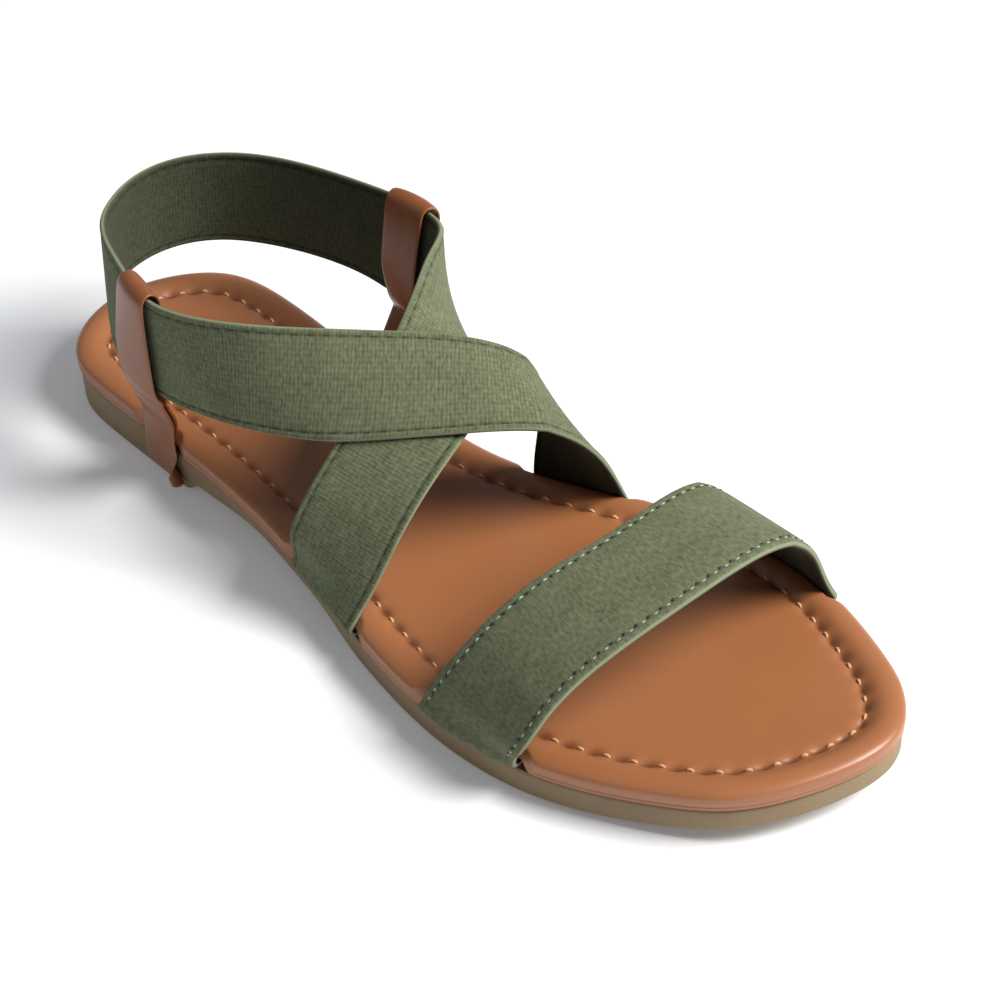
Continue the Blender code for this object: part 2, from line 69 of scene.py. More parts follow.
def view_axes():
    """Right, up and backward axes of the rolled camera."""
    right = Vector((math.cos(CAMERA_AZIMUTH), math.sin(CAMERA_AZIMUTH), 0.0))
    level = Vector((math.sin(CAMERA_AZIMUTH), -math.cos(CAMERA_AZIMUTH), 0.0))
    back = level * math.cos(CAMERA_ELEVATION) + Vector((0.0, 0.0, math.sin(CAMERA_ELEVATION)))
    up = back.cross(right)
    turned_right = right * math.cos(CAMERA_ROLL) + up * math.sin(CAMERA_ROLL)
    turned_up = up * math.cos(CAMERA_ROLL) - right * math.sin(CAMERA_ROLL)
    return turned_right, turned_up, back


def linear(code):
    """Linear colour of an sRGB hex code."""
    shares = [int(code[i : i + 2], 16) / 255 for i in (1, 3, 5)]
    return tuple(s / 12.92 if s <= 0.04045 else ((s + 0.055) / 1.055) ** 2.4 for s in shares)


def add_node(tree, kind, inputs=None, **settings):
    """Adds a shader node, sets its settings, and links or sets its inputs by name or number."""
    made = tree.nodes.new("ShaderNode" + kind)
    for setting, value in settings.items():
        setattr(made, setting, value)
    for socket, value in (inputs or {}).items():
        if isinstance(value, bpy.types.NodeSocket):
            tree.links.new(value, made.inputs[socket])
        elif isinstance(value, str):
            made.inputs[socket].default_value = (*linear(value), 1.0)
        else:
            made.inputs[socket].default_value = value
    return made


def new_material(name, roughness, **constants):
    """Material with a Principled shader whose constant values are set on its own sockets."""
    made = bpy.data.materials.new(name)
    made.use_nodes = True
    shader = made.node_tree.nodes["Principled BSDF"]
    shader.inputs["Roughness"].default_value = roughness
    for socket, value in constants.items():
        shader.inputs[socket.replace("_", " ")].default_value = value
    return made, made.node_tree, shader


def wire(tree, shader, colour, bump):
    """Gives a shader its colour and the relief of a bump node."""
    tree.links.new(colour, shader.inputs["Base Color"])
    tree.links.new(bump.outputs[0], shader.inputs["Normal"])


right_axis, up_axis, back_axis = view_axes()
camera_data = bpy.data.cameras.new("camera")
camera_data.lens = LENS_MM
camera_data.sensor_width = SENSOR_MM
camera = bpy.data.objects.new("camera", camera_data)
bpy.context.scene.collection.objects.link(camera)
camera_turn = Matrix((right_axis, up_axis, back_axis)).transposed().to_4x4()
camera.matrix_world = Matrix.Translation(CAMERA_AIM + back_axis * CAMERA_DISTANCE) @ camera_turn
bpy.context.scene.camera = camera
bpy.context.scene.view_settings.view_transform = "Standard"

bpy.ops.object.light_add(type="AREA", location=LAMP_PLACE)
lamp = bpy.context.object
lamp.name = "key_lamp"
lamp.data.size = LAMP_SIZE
lamp.data.energy = LAMP_POWER
lamp.data.color = linear("#FFFFFC")
lamp.rotation_euler = (LAMP_PLACE - LAMP_AIM).to_track_quat("Z", "Y").to_euler()

world = bpy.data.worlds.new("pale_studio")
world.use_nodes = True
world.node_tree.nodes["Background"].inputs["Color"].default_value = (*linear("#F1F4FA"), 1.0)
world.node_tree.nodes["Background"].inputs["Strength"].default_value = SKY_STRENGTH
bpy.context.scene.world = world

bpy.ops.object.select_all(action="DESELECT")
bpy.ops.mesh.primitive_plane_add(size=FLOOR_SIZE)
floor = bpy.context.object
floor.name = "floor"
paper, _, _ = new_material(
    "backlit_matt_paper", 0.9, Base_Color=(*linear("#F4F5F8"), 1.0), Emission_Strength=PAPER_GLOW,
    Emission_Color=(*linear("#F4F5F8"), 1.0),
)
floor.data.materials.append(paper)


# Outsole
# One thin piece of moulded thermoplastic rubber with a low heel, a lifted waist and a short toe
# spring. Its edge is plain, and fine ribs across the heel and the ball of the foot give it grip.
low_corner, high_corner = (Vector(corner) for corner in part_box("footbed"))
ROLL_BULGE = 0.2 * MM
LENGTH = high_corner.y - low_corner.y - 2 * ROLL_BULGE
HEEL_BACK = low_corner.y + ROLL_BULGE
BALL_WIDTH = 88.5 * MM
WAIST_WIDTH = 56.0 * MM
HEEL_WIDTH = 57.0 * MM
OUTSOLE_INSET = 0.6 * MM
HEEL_HEIGHT = 10.2 * MM
FOREFOOT_HEIGHT = 6.6 * MM
TOE_SPRING = 4.8 * MM
TOE_THINNING = 1.4 * MM
WAIST_LIFT = 5.6 * MM
SPRING_START = 0.72
OUTSOLE_COLUMNS = 400
STEPS_PER_OUTLINE_ROW = 200
TREAD_PITCH = 2.4 * MM

# Outline of the sole, outer side first
OUTLINE = (
    # share of the length, share of the width beside it, width
    (0.000, 0.02, HEEL_WIDTH),
    (0.040, 0.39, HEEL_WIDTH),
    (0.120, 0.49, HEEL_WIDTH),
    (0.250, 0.515, HEEL_WIDTH),
    (0.400, 0.58, WAIST_WIDTH),
    (0.550, 0.454, BALL_WIDTH),
    (0.680, 0.51, BALL_WIDTH),
    (0.800, 0.47, BALL_WIDTH),
    (0.900, 0.347, BALL_WIDTH),
    (0.965, 0.19, BALL_WIDTH),
    (1.000, -0.093, BALL_WIDTH),
    (0.970, -0.27, BALL_WIDTH),
    (0.920, -0.362, BALL_WIDTH),
    (0.830, -0.46, BALL_WIDTH),
    (0.730, -0.483, BALL_WIDTH),
    (0.600, -0.39, BALL_WIDTH),
    (0.450, -0.40, WAIST_WIDTH),
    (0.280, -0.42, HEEL_WIDTH),
    (0.130, -0.477, HEEL_WIDTH),
    (0.040, -0.375, HEEL_WIDTH),
)
TOP_LINE = ((0.0, HEEL_HEIGHT), (0.22, HEEL_HEIGHT), (0.55, FOREFOOT_HEIGHT), (1.0, FOREFOOT_HEIGHT))
UNDERSIDE = ((0.0, 0.0), (0.24, 0.0), (0.268, 0.68), (0.36, 1.0), (0.46, 0.70), (0.56, 0.0), (1.0, 0.0))

# Section of the edge from the middle of the underside up
OUTSOLE_EDGE = (
    # inset in mm, share of the sole's own height
    (14.0, 0.0),
    (4.2, 0.0),
    (1.0, 0.0),
    (0.72, 0.005),
    (0.5, 0.02),
    (0.3, 0.05),
    (0.12, 0.1),
    (0.02, 0.17),
    (0.0, 0.25),
    (0.0, 0.5),
    (0.0, 0.86),
    (0.08, 0.94),
    (0.35, 1.0),
    (2.5, 1.0),
    (9.0, 1.0),
)
FLAT_SHARES = (0.25, 0.5, 0.75, 1.0)


def ease(value):
    share = np.clip(value, 0.0, 1.0)
    return share * share * (3.0 - 2.0 * share)


def eased_line(table, share):
    """Height of a profile at shares of the length, eased between its rows."""
    share = np.asarray(share, float)
    height = np.full_like(share, table[-1][1])
    for (start, low), (end, high) in reversed(list(zip(table, table[1:]))):
        ramp = low + (high - low) * ease((share - start) / (end - start))
        height = np.where(share <= end, ramp, height)
    return height


def toe_rise(y, height):
    """How far the front of the sole curves up, to height at its tip."""
    past = np.maximum(0.0, (y - HEEL_BACK) / LENGTH - SPRING_START) / (1.0 - SPRING_START)
    return height * past * past


def sole_top(y):
    return eased_line(TOP_LINE, (y - HEEL_BACK) / LENGTH) + toe_rise(y, TOE_SPRING)


def sole_under(y):
    share = (y - HEEL_BACK) / LENGTH
    return WAIST_LIFT * eased_line(UNDERSIDE, share) + toe_rise(y, TOE_SPRING + TOE_THINNING)


class Spline:
    """Cubic spline through points, one unit of its parameter for each span."""

    def __init__(self, points, closed=False):
        self.points = np.array(points, float)
        self.closed = closed
        count = len(self.points)
        matrix = np.zeros((count, count))
        right = np.zeros_like(self.points)
        for i in range(count):
            if not closed and i in (0, count - 1):
                matrix[i, i] = 1.0
                continue
            before, after = (i - 1) % count, (i + 1) % count
            matrix[i, before] += 1.0
            matrix[i, i] += 4.0
            matrix[i, after] += 1.0
            right[i] = 6.0 * (self.points[before] - 2.0 * self.points[i] + self.points[after])
        self.bend = np.linalg.solve(matrix, right)

    def at(self, u):
        count = len(self.points)
        last = count if self.closed else count - 1
        u = u % last if self.closed else min(max(u, 0.0), last)
        i = min(int(u), last - 1)
        j = (i + 1) % count
        b = u - i
        a = 1.0 - b
        bend = ((a**3 - a) * self.bend[i] + (b**3 - b) * self.bend[j]) / 6.0
        return a * self.points[i] + b * self.points[j] + bend


def run_length(line):
    """Running length along a line of places."""
    return np.concatenate([[0.0], np.cumsum(np.linalg.norm(np.diff(line, axis=0), axis=1))])


def outline_ring(columns, inset):
    """Points and outward normals round the outline, evenly spaced along a line at that inset.

    The ring starts at the back of the heel and runs up the outer side to the toe, which lies
    halfway round it.
    """
    spline = Spline([(across * width, along * LENGTH) for along, across, width in OUTLINE], True)
    fine = STEPS_PER_OUTLINE_ROW * len(OUTLINE)
    dense = np.array([spline.at(len(OUTLINE) * i / fine) for i in range(fine)])
    dense[:, 1] += HEEL_BACK
    dense = np.roll(dense, -int(dense[:, 1].argmin()), axis=0)
    tangent = np.roll(dense, -1, axis=0) - np.roll(dense, 1, axis=0)
    normal = np.column_stack([tangent[:, 1], -tangent[:, 0]])
    normal /= np.linalg.norm(normal, axis=1)[:, None]
    toe = int(dense[:, 1].argmax())
    both = np.hstack([dense, normal])
    inner = dense - normal * inset
    halves = []
    for side in (slice(0, toe + 1), None):
        values = both[side] if side else np.vstack([both[toe:], both[:1]])
        line = inner[side] if side else np.vstack([inner[toe:], inner[:1]])
        length = run_length(line)
        wanted = np.linspace(0.0, length[-1], columns // 2 + 1)[:-1]
        halves.append(np.column_stack([np.interp(wanted, length, values[:, k]) for k in range(4)]))
    ring = np.vstack(halves)
    return ring[:, :2], ring[:, 2:] / np.linalg.norm(ring[:, 2:], axis=1)[:, None]


def ring_places(ring, normals, inset, height):
    flat = ring - normals * np.asarray(inset).reshape(-1, 1)
    return np.column_stack([flat, height(flat[:, 1])])


def closing_rows(row, height, shares):
    """Rings that close a ring onto the middle line of the sole."""
    opposite = np.roll(row[::-1], 1, axis=0)
    middle = (row + opposite) / 2
    flats = [row + (middle - row) * share for share in shares]
    return [np.column_stack([flat[:, :2], height(flat[:, 1])]) for flat in flats]


def closed_sheet(rows, below, above, shares):
    """Sheet of rings, closed below and above, whose rows repeat their first place at the end."""
    rows = closing_rows(rows[0], below, shares)[::-1] + rows + closing_rows(rows[-1], above, shares)
    return np.array([np.vstack([row, row[:1]]) for row in rows])


def unrolled(places):
    """Flat chart of a sheet in metres: how far round each row and how far up each column it lies."""
    around = np.array([run_length(row) for row in places])
    upward = np.array([run_length(column) for column in places.transpose(1, 0, 2)])
    return np.stack([around, upward.T], axis=2)


def formed_sheet(name, places, chart, sharp_degrees=40.0, painted_shade=None):
    """Flat grid laid over places, rows by columns, with chart as its UV map in metres.

    Edges and ends that lie on each other are merged, so a sheet that wraps round is closed. The
    optional point attribute holds how strongly each place is painted as shade, from 0 to 1.
    """
    rows, columns = places.shape[:2]
    bpy.ops.object.select_all(action="DESELECT")
    bpy.ops.mesh.primitive_grid_add(x_subdivisions=columns - 1, y_subdivisions=rows - 1, size=2.0)
    piece = bpy.context.object
    piece.name = name
    mesh = piece.data
    mesh.name = name
    flat = np.empty(len(mesh.vertices) * 3)
    mesh.vertices.foreach_get("co", flat)
    flat = flat.reshape(-1, 3)
    column = np.rint((flat[:, 0] + 1) / 2 * (columns - 1)).astype(int)
    row = np.rint((flat[:, 1] + 1) / 2 * (rows - 1)).astype(int)
    corner = np.empty(len(mesh.loops), int)
    mesh.loops.foreach_get("vertex_index", corner)
    mesh.uv_layers[0].data.foreach_set("uv", chart[row[corner], column[corner]].ravel())
    mesh.vertices.foreach_set("co", places[row, column].ravel())
    # Painted shade, one value for each place, which the material darkens its colour by
    if painted_shade is not None:
        mesh.attributes.new("painted_shade", "FLOAT", "POINT").data.foreach_set("value", painted_shade[row, column])
    bpy.ops.object.mode_set(mode="EDIT")
    bpy.ops.mesh.select_all(action="SELECT")
    bpy.ops.mesh.remove_doubles(threshold=0.001 * MM)
    bpy.ops.mesh.dissolve_degenerate(threshold=0.0001 * MM)
    bpy.ops.mesh.normals_make_consistent(inside=False)
    bpy.ops.object.mode_set(mode="OBJECT")
    bpy.ops.object.shade_smooth_by_angle(angle=math.radians(sharp_degrees))
    return piece


def finish_piece(piece, material, slot, *nodes):
    """Gives a piece its material, lets it ride on the sandal and stand for its CAD nodes."""
    piece.data.materials.clear()
    piece.data.materials.append(material)
    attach(piece, "root")
    if nodes:
        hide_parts(*nodes)


def wave_scale(pitch):
    """Scale of a Wave texture whose bands lie one pitch apart: it turns 20 radians per unit."""
    return 2 * math.pi / 20 / pitch


ring, ring_normals = outline_ring(OUTSOLE_COLUMNS, OUTSOLE_INSET)
rows = []
for inset, share in OUTSOLE_EDGE:
    def edge_height(y, share=share):
        return sole_under(y) + share * (sole_top(y) - sole_under(y))

    rows.append(ring_places(ring, ring_normals, OUTSOLE_INSET + inset * MM, edge_height))
places = closed_sheet(rows, sole_under, sole_top, FLAT_SHARES)
outsole = formed_sheet("outsole_rubber", places, unrolled(places))

# Moulded rubber: matt and a little blotched
rubber, tree, shader = new_material("moulded_taupe_rubber", 0.62, Specular_IOR_Level=0.35)
where = add_node(tree, "TexCoord").outputs["Object"]
blotch = add_node(tree, "TexNoise", {"Vector": where, "Scale": 1 / (18 * MM), "Detail": 4.0})
speck = add_node(tree, "TexNoise", {"Vector": where, "Scale": 1 / (0.7 * MM), "Detail": 3.0})
base = add_node(tree, "Mix", {0: blotch.outputs["Fac"], 6: "#80694F", 7: "#94805F"}, data_type="RGBA")
tint = add_node(
    tree, "Mix", {0: 0.25, 6: base.outputs[2], 7: speck.outputs["Color"]},
    data_type="RGBA", blend_type="SOFT_LIGHT",
)
turned = add_node(tree, "Mapping", {"Vector": where, "Rotation": (0.0, 0.0, math.radians(90))})
tread = add_node(
    tree, "TexWave", {"Vector": turned.outputs[0], "Scale": wave_scale(TREAD_PITCH), "Distortion": 0.0}
)
facing = add_node(tree, "SeparateXYZ", {0: add_node(tree, "NewGeometry").outputs["Normal"]})
under = add_node(tree, "Math", {0: facing.outputs["Z"], 1: -0.9}, operation="LESS_THAN")
ribs = add_node(tree, "Math", {0: tread.outputs["Fac"], 1: under.outputs[0]}, operation="MULTIPLY")
rib_bump = add_node(tree, "Bump", {"Height": ribs.outputs[0], "Strength": 0.8, "Distance": 0.5 * MM})
relief = {"Height": speck.outputs["Fac"], "Strength": 0.3, "Distance": 0.05 * MM}
speck_bump = add_node(tree, "Bump", relief | {"Normal": rib_bump.outputs[0]})
wire(tree, shader, tint.outputs[2], speck_bump)
finish_piece(outsole, rubber, "outsole", "outsole")


# Footbed
# Board and foam wrapped in tan leatherette. The wrap turns under at the bottom edge, rises over a
# padded roll, is drawn down along a row of stitches and lies nearly flat inside it.
FOOTBED_THICK = 5.2 * MM
GAP = 0.3 * MM
STITCH_INSET = 8.4 * MM
STITCH_DEPTH = 0.8 * MM
STITCH_PITCH = 6.0 * MM
STITCH_LENGTH = 1.9 * MM
THREAD_THICK = 0.75 * MM
COLUMNS_PER_STITCH = 10
RING_COLUMNS = 4000
LIFT_SOFTNESS = 2.0 * MM
PRESS_SOFTNESS = 5.0 * MM
FOOT_ROOM = 2.2 * GAP
PRESS_ROOM = 1.2 * GAP
PRESS_LEAN = 0.8
UNDER_SHARE = 0.7
UNDER_INSET = 12.0 * MM
EDGE_GAP = 0.5 * MM
EDGE_PRESS = 1.2 * MM
BAND_THICK = 1.6 * MM
TOE_BAND_THICK = 2.2 * MM
TAB_FOOT_THICK = 1.6 * MM
TAB_FOOT_WIDTH = 12.0 * MM
FOOT_LEAN = 2.0 * MM
LEAN_START = 0.45
LEAN_POWER = 1.4
CROSS_FEET = {"outer": (0.440, 0.549), "inner": (0.506, 0.598)}
TOE_FEET = {"outer": (0.665, 0.776), "inner": (0.724, 0.830)}
TAB_MIDDLE = {"outer": 0.211, "inner": 0.320}

# Section of the wrap from under the edge to inside the stitches
WRAP = (
    # inset in mm, share of the thickness, share of the stitch depth that it is drawn down
    (14.0, 0.02, 0.0),
    (5.0, 0.0, 0.0),
    (2.0, 0.0, 0.0),
    (1.0, 0.005, 0.0),
    (0.60, 0.02, 0.0),
    (0.34, 0.045, 0.0),
    (0.20, 0.08, 0.0),
    (0.14, 0.125, 0.0),
    (0.16, 0.17, 0.0),
    (0.20, 0.205, 0.0),
    (0.26, 0.23, 0.0),
    (0.29, 0.245, 0.0),
    (0.26, 0.265, 0.0),
    (0.18, 0.305, 0.0),
    (0.08, 0.39, 0.0),
    (-0.10, 0.45, 0.0),
    (-0.19, 0.52, 0.0),
    (-0.20, 0.60, 0.0),
    (-0.08, 0.69, 0.0),
    (0.20, 0.775, 0.0),
    (0.62, 0.85, 0.0),
    (1.18, 0.91, 0.0),
    (1.85, 0.96, 0.0),
    (2.60, 0.995, 0.0),
    (3.40, 1.015, 0.0),
    (4.20, 1.015, 0.0),
    (5.00, 0.99, 0.0),
    (5.80, 0.945, 0.02),
    (6.50, 0.895, 0.12),
    (7.10, 0.85, 0.33),
    (7.60, 0.815, 0.62),
    (8.05, 0.79, 0.92),
    (8.40, 0.78, 1.0),
    (8.75, 0.78, 0.92),
    (9.20, 0.785, 0.58),
    (9.80, 0.79, 0.25),
    (10.6, 0.79, 0.07),
    (12.0, 0.785, 0.0),
    (14.5, 0.78, 0.0),
)
INNER_SHARES = (0.12, 0.25, 0.4, 0.55, 0.7, 0.85, 1.0)


def tab_corners(side):
    half = TAB_FOOT_WIDTH / LENGTH / 2
    return TAB_MIDDLE[side] - half, TAB_MIDDLE[side] + half


def strap_feet():
    """Each strap's foot: its side, rear and front place along the sole, and its thickness."""
    for side in ("outer", "inner"):
        yield side, CROSS_FEET[side], BAND_THICK
        yield side, TOE_FEET[side], TOE_BAND_THICK
        yield side, tab_corners(side), TAB_FOOT_THICK


def foot_lean(share):
    """How far a strap's foot leans in over the padded edge, at a share of its thickness."""
    return FOOT_LEAN * np.clip((share - LEAN_START) / (1.0 - LEAN_START), 0.0, 1.0) ** LEAN_POWER


def wrap_height(share):
    """Height of the wrap by place along the sole, at a share of the footbed's thickness."""
    return lambda y: sole_top(y) + GAP + share * FOOTBED_THICK


def foot_room(ring):
    """How much the padded edge is pressed in, and how far its underside is lifted, beside each
    strap's foot."""
    outer = np.arange(len(ring)) < len(ring) // 2
    press = np.zeros(len(ring))
    lift = np.zeros(len(ring))
    for side, (rear, front), thick in strap_feet():
        start = HEEL_BACK + rear * LENGTH - GAP
        end = HEEL_BACK + front * LENGTH + GAP
        here = outer if side == "outer" else ~outer
        within = np.minimum(ring[:, 1] - start, end - ring[:, 1])
        press = np.maximum(press, here * ease(within / PRESS_SOFTNESS + 1))
        lift = np.maximum(lift, here * ease(within / LIFT_SOFTNESS + 1) * (thick + FOOT_ROOM))
    return press, lift


ring, ring_normals = outline_ring(RING_COLUMNS, STITCH_INSET)
seam = ring - STITCH_INSET * ring_normals
stitch_count = round(run_length(np.vstack([seam, seam[:1]]))[-1] / STITCH_PITCH / 2) * 2
columns = stitch_count * COLUMNS_PER_STITCH
ring, ring_normals = outline_ring(columns, STITCH_INSET)
press, lift = foot_room(ring)
between = 0.5 - 0.5 * np.cos(2 * math.pi * np.arange(columns) / COLUMNS_PER_STITCH)
rows = []
stitch_hollow_shades = []
for inset, share, draw in WRAP:
    inset *= MM
    depth = draw * STITCH_DEPTH * (0.3 + 0.9 * between)
    # Painted shade: how much darker each place is painted, most where the wrap is drawn deepest between
    # stitches
    stitch_hollow_shades.append(draw**3 * (0.15 + 0.85 * between))
    reach = EDGE_PRESS - EDGE_GAP + PRESS_ROOM + PRESS_LEAN * foot_lean(share)
    pressed = np.maximum(inset, press * reach)
    under = inset < UNDER_INSET and share < UNDER_SHARE
    raised = np.maximum(share * FOOTBED_THICK, lift * (1.0 if under else 0.0))
    flat = ring - ring_normals * pressed[:, None]
    height = sole_top(flat[:, 1]) + GAP + raised - depth
    rows.append(np.column_stack([flat, height]))
flat_rows = [np.zeros(columns)] * len(INNER_SHARES)
places = closed_sheet(rows, wrap_height(WRAP[0][1]), wrap_height(WRAP[-1][1]), INNER_SHARES)
stitch_hollow_shade = np.array([np.append(row, row[0]) for row in flat_rows + stitch_hollow_shades + flat_rows])
footbed = formed_sheet("footbed_wrap", places, unrolled(places), sharp_degrees=60.0, painted_shade=stitch_hollow_shade)

# Leatherette: polyurethane film embossed with a shallow grain, so smooth with a soft gloss. Painted
# shade darkens it in the hollows between the stitches.
leather, tree, shader = new_material(
    "embossed_tan_leatherette", 0.40, Specular_IOR_Level=0.5, Coat_Weight=0.12, Coat_Roughness=0.25
)
where = add_node(tree, "TexCoord").outputs["Object"]
cloud = add_node(tree, "TexNoise", {"Vector": where, "Scale": 1 / (30 * MM), "Detail": 3.0})
grain = add_node(tree, "TexVoronoi", {"Vector": where, "Scale": 1 / (0.9 * MM)}, feature="SMOOTH_F1")
pore = add_node(tree, "TexNoise", {"Vector": where, "Scale": 1 / (0.45 * MM), "Detail": 4.0})
tan = add_node(tree, "Mix", {0: cloud.outputs["Fac"], 6: "#99603B", 7: "#A86B43"}, data_type="RGBA")
stitch_hollow_shade = add_node(tree, "Attribute", attribute_name="painted_shade").outputs["Fac"]
# Painted shade: dark brown mixed in where the hollows between the stitches lie in shade
tan = add_node(tree, "Mix", {0: stitch_hollow_shade, 6: tan.outputs[2], 7: "#6E3E24"}, data_type="RGBA")
shine = add_node(tree, "MapRange", {0: pore.outputs["Fac"], 3: 0.32, 4: 0.46})
tree.links.new(shine.outputs[0], shader.inputs["Roughness"])
height = add_node(tree, "Mix", {0: 0.4, 2: grain.outputs["Distance"], 3: pore.outputs["Fac"]})
bump = add_node(tree, "Bump", {"Height": height.outputs[0], "Strength": 0.25, "Distance": 0.08 * MM})
wire(tree, shader, tan.outputs[2], bump)
finish_piece(footbed, leather, "footbed", "footbed")


# Footbed stitches
# Pale waxed polyester thread, sewn through the wrap about 6 mm apart. Each stitch shows as a short
# rounded dash that sinks into the leatherette at both ends.
UPWARD = Vector((0.0, 0.0, 1.0))
THREAD_RISE = 0.32
STITCH_DIP = 0.55


def capsule(length, thick, sides=8, rings=7):
    """Corners and faces of one stitch that lies along X and dips at its ends."""
    corners = []
    for i in range(rings):
        turn = math.pi * i / (rings - 1)
        along = -math.cos(turn) * length / 2
        radius = thick / 2 * max(math.sin(turn), 0.05) ** 0.7
        dip = -STITCH_DIP * thick * (2 * along / length) ** 2
        for k in range(sides):
            angle = 2 * math.pi * k / sides
            corners.append((along, radius * math.cos(angle), radius * math.sin(angle) + dip))
    faces = [tuple(range(sides))[::-1], tuple((rings - 1) * sides + k for k in range(sides))]
    for i in range(rings - 1):
        for k in range(sides):
            j = (k + 1) % sides
            faces.append((i * sides + k, i * sides + j, (i + 1) * sides + j, (i + 1) * sides + k))
    return np.array(corners), faces


def sewn_row(name, frames, length, thick):
    """All the stitches of one seam as one piece, each at a (place, direction, outward) frame."""
    corners, faces = capsule(length, thick)
    all_corners = []
    all_faces = []
    for place, along, outward in frames:
        x = along.normalized()
        z = (outward - x * outward.dot(x)).normalized()
        y = z.cross(x)
        turned = corners @ np.array([x, y, z]) + np.array(place)
        all_faces += [tuple(index + len(all_corners) * len(corners) for index in face) for face in faces]
        all_corners.append(turned)
    mesh = bpy.data.meshes.new(name)
    mesh.from_pydata(np.vstack(all_corners).tolist(), [], all_faces)
    piece = bpy.data.objects.new(name, mesh)
    bpy.context.scene.collection.objects.link(piece)
    bpy.ops.object.select_all(action="DESELECT")
    piece.select_set(True)
    bpy.context.view_layer.objects.active = piece
    bpy.ops.object.mode_set(mode="EDIT")
    bpy.ops.mesh.select_all(action="SELECT")
    bpy.ops.mesh.normals_make_consistent(inside=False)
    bpy.ops.object.mode_set(mode="OBJECT")
    bpy.ops.object.shade_smooth()
    return piece


def twisted_thread(name, light, dark, twist):
    """Twisted sewing thread: satin, with a fine diagonal ply."""
    made, tree, shader = new_material(name, 0.55, Sheen_Weight=0.2)
    where = add_node(tree, "TexCoord").outputs["Object"]
    ply = add_node(
        tree, "TexWave", {"Vector": where, "Scale": wave_scale(twist), "Distortion": 2.0},
        bands_direction="DIAGONAL",
    )
    shade = add_node(tree, "Mix", {0: ply.outputs["Fac"], 6: dark, 7: light}, data_type="RGBA")
    bump = add_node(tree, "Bump", {"Height": ply.outputs["Fac"], "Strength": 0.5, "Distance": 0.06 * MM})
    wire(tree, shader, shade.outputs[2], bump)
    return made


stitch_row = [index for index, entry in enumerate(WRAP) if entry[0] * MM == STITCH_INSET][0]
stitch_line = rows[stitch_row]
frames = []
for number in range(stitch_count):
    middle = number * COLUMNS_PER_STITCH
    ahead, behind = stitch_line[(middle + 2) % columns], stitch_line[middle - 2]
    place = Vector(stitch_line[middle]) + UPWARD * THREAD_RISE * THREAD_THICK
    frames.append((place, Vector(ahead - behind), UPWARD))
footbed_stitches = sewn_row("footbed_stitches", frames, STITCH_LENGTH, THREAD_THICK)
tan_thread = twisted_thread("tan_polyester_thread", "#DDAB80", "#BE875A", 0.5 * MM)
finish_piece(footbed_stitches, tan_thread, "footbed")


# Toe band
# A doubled piece of knitted elastic, 28 mm wide, sewn along both edges with pale thread, its needle
# holes painted as near-black shadow. Both ends are tucked and glued between the footbed and the outsole.
TOE_BAND_WIDTH = 28.0 * MM
TOE_BAND_HEIGHT = 39.5 * MM
TOE_AXIS_HEIGHT = 0.3
TUCK_DEPTH = 9.0 * MM
HEEL_TURN = (60.0 * MM, 40.0 * MM)
HEEL_AXIS = 50.0 * MM
ACROSS_STEPS = 12
STATIONS_PER_ROW = 24
FOOT_BLEND_STEPS = 16
FOOT_BEND_STEPS = 8
FOOT_STIFFNESS = 0.7
RELAX_REACH = 14
RELAX_ROUNDS = 120
TOE_STITCH_INSET = 1.9 * MM
TOE_STITCH_PITCH = 3.2 * MM
TOE_STITCH_LENGTH = 1.8 * MM
TOE_THREAD_THICK = 0.6 * MM
# Size of the near-black dashes of painted shadow in the needle holes
HOLE_INSET = 2.2 * MM
HOLE_LENGTH = 1.9 * MM
HOLE_WIDTH = 0.9 * MM
SEAM_DOT_PITCH = 3.6 * MM
STITCH_HEIGHT = 0.34
HEEL_ROUNDNESS = 0.8
# Painted shade on the reverse of the elastic: its strength along the band, near the feet, and how far
# from each end it deepens
REVERSE_PAINTED_SHADE = 0.62
FOOT_PAINTED_SHADE = 0.97
FOOT_PAINTED_SHADE_REACH = 60.0 * MM

# Middle line of the toe band
TOE_PATH = (
    # share of the ball width, of the length, of its own height, and lean in degrees
    (0.520, 0.722, 0.20, -4),
    (0.503, 0.740, 0.46, -8),
    (0.333, 0.758, 0.81, -8),
    (0.057, 0.778, 0.99, -2),
    (-0.198, 0.782, 1.00, 0),
    (-0.379, 0.777, 0.75, 1),
    (-0.463, 0.777, 0.31, 4),
)

# Half section of the toe band. It dips where the stitches pull it in and ends in a soft round edge.
TOE_SECTION = (
    # share of the half width, share of the half thickness
    (0.0, 1.0),
    (0.2, 1.0),
    (0.4, 1.0),
    (0.6, 1.0),
    (0.74, 0.99),
    (0.79, 0.93),
    (0.825, 0.82),
    (0.85, 0.76),
    (0.875, 0.80),
    (0.905, 0.86),
    (0.94, 0.86),
    (0.97, 0.76),
    (0.988, 0.56),
    (0.997, 0.3),
    (1.0, 0.0),
)
EDGE_COLUMNS = 1200
edge_ring, edge_normals = outline_ring(EDGE_COLUMNS, 0.0)


def path_spline(table, height):
    return Spline(
        [
            (across * BALL_WIDTH, HEEL_BACK + along * LENGTH, share * height, math.radians(lean))
            for across, along, share, lean in table
        ]
    )


def edge_point(side, y, outset):
    """Point beside the sole's edge at y, outset from the outline along its normal."""
    toe = EDGE_COLUMNS // 2
    half = slice(0, toe + 1) if side == "outer" else slice(toe, None)
    order = np.argsort(edge_ring[half][:, 1])
    found = [
        float(np.interp(y, edge_ring[half][order, 1], values[half][order, k]))
        for values in (edge_ring, edge_normals)
        for k in (0, 1)
    ]
    return found[0] + outset * found[2], y + outset * found[3]


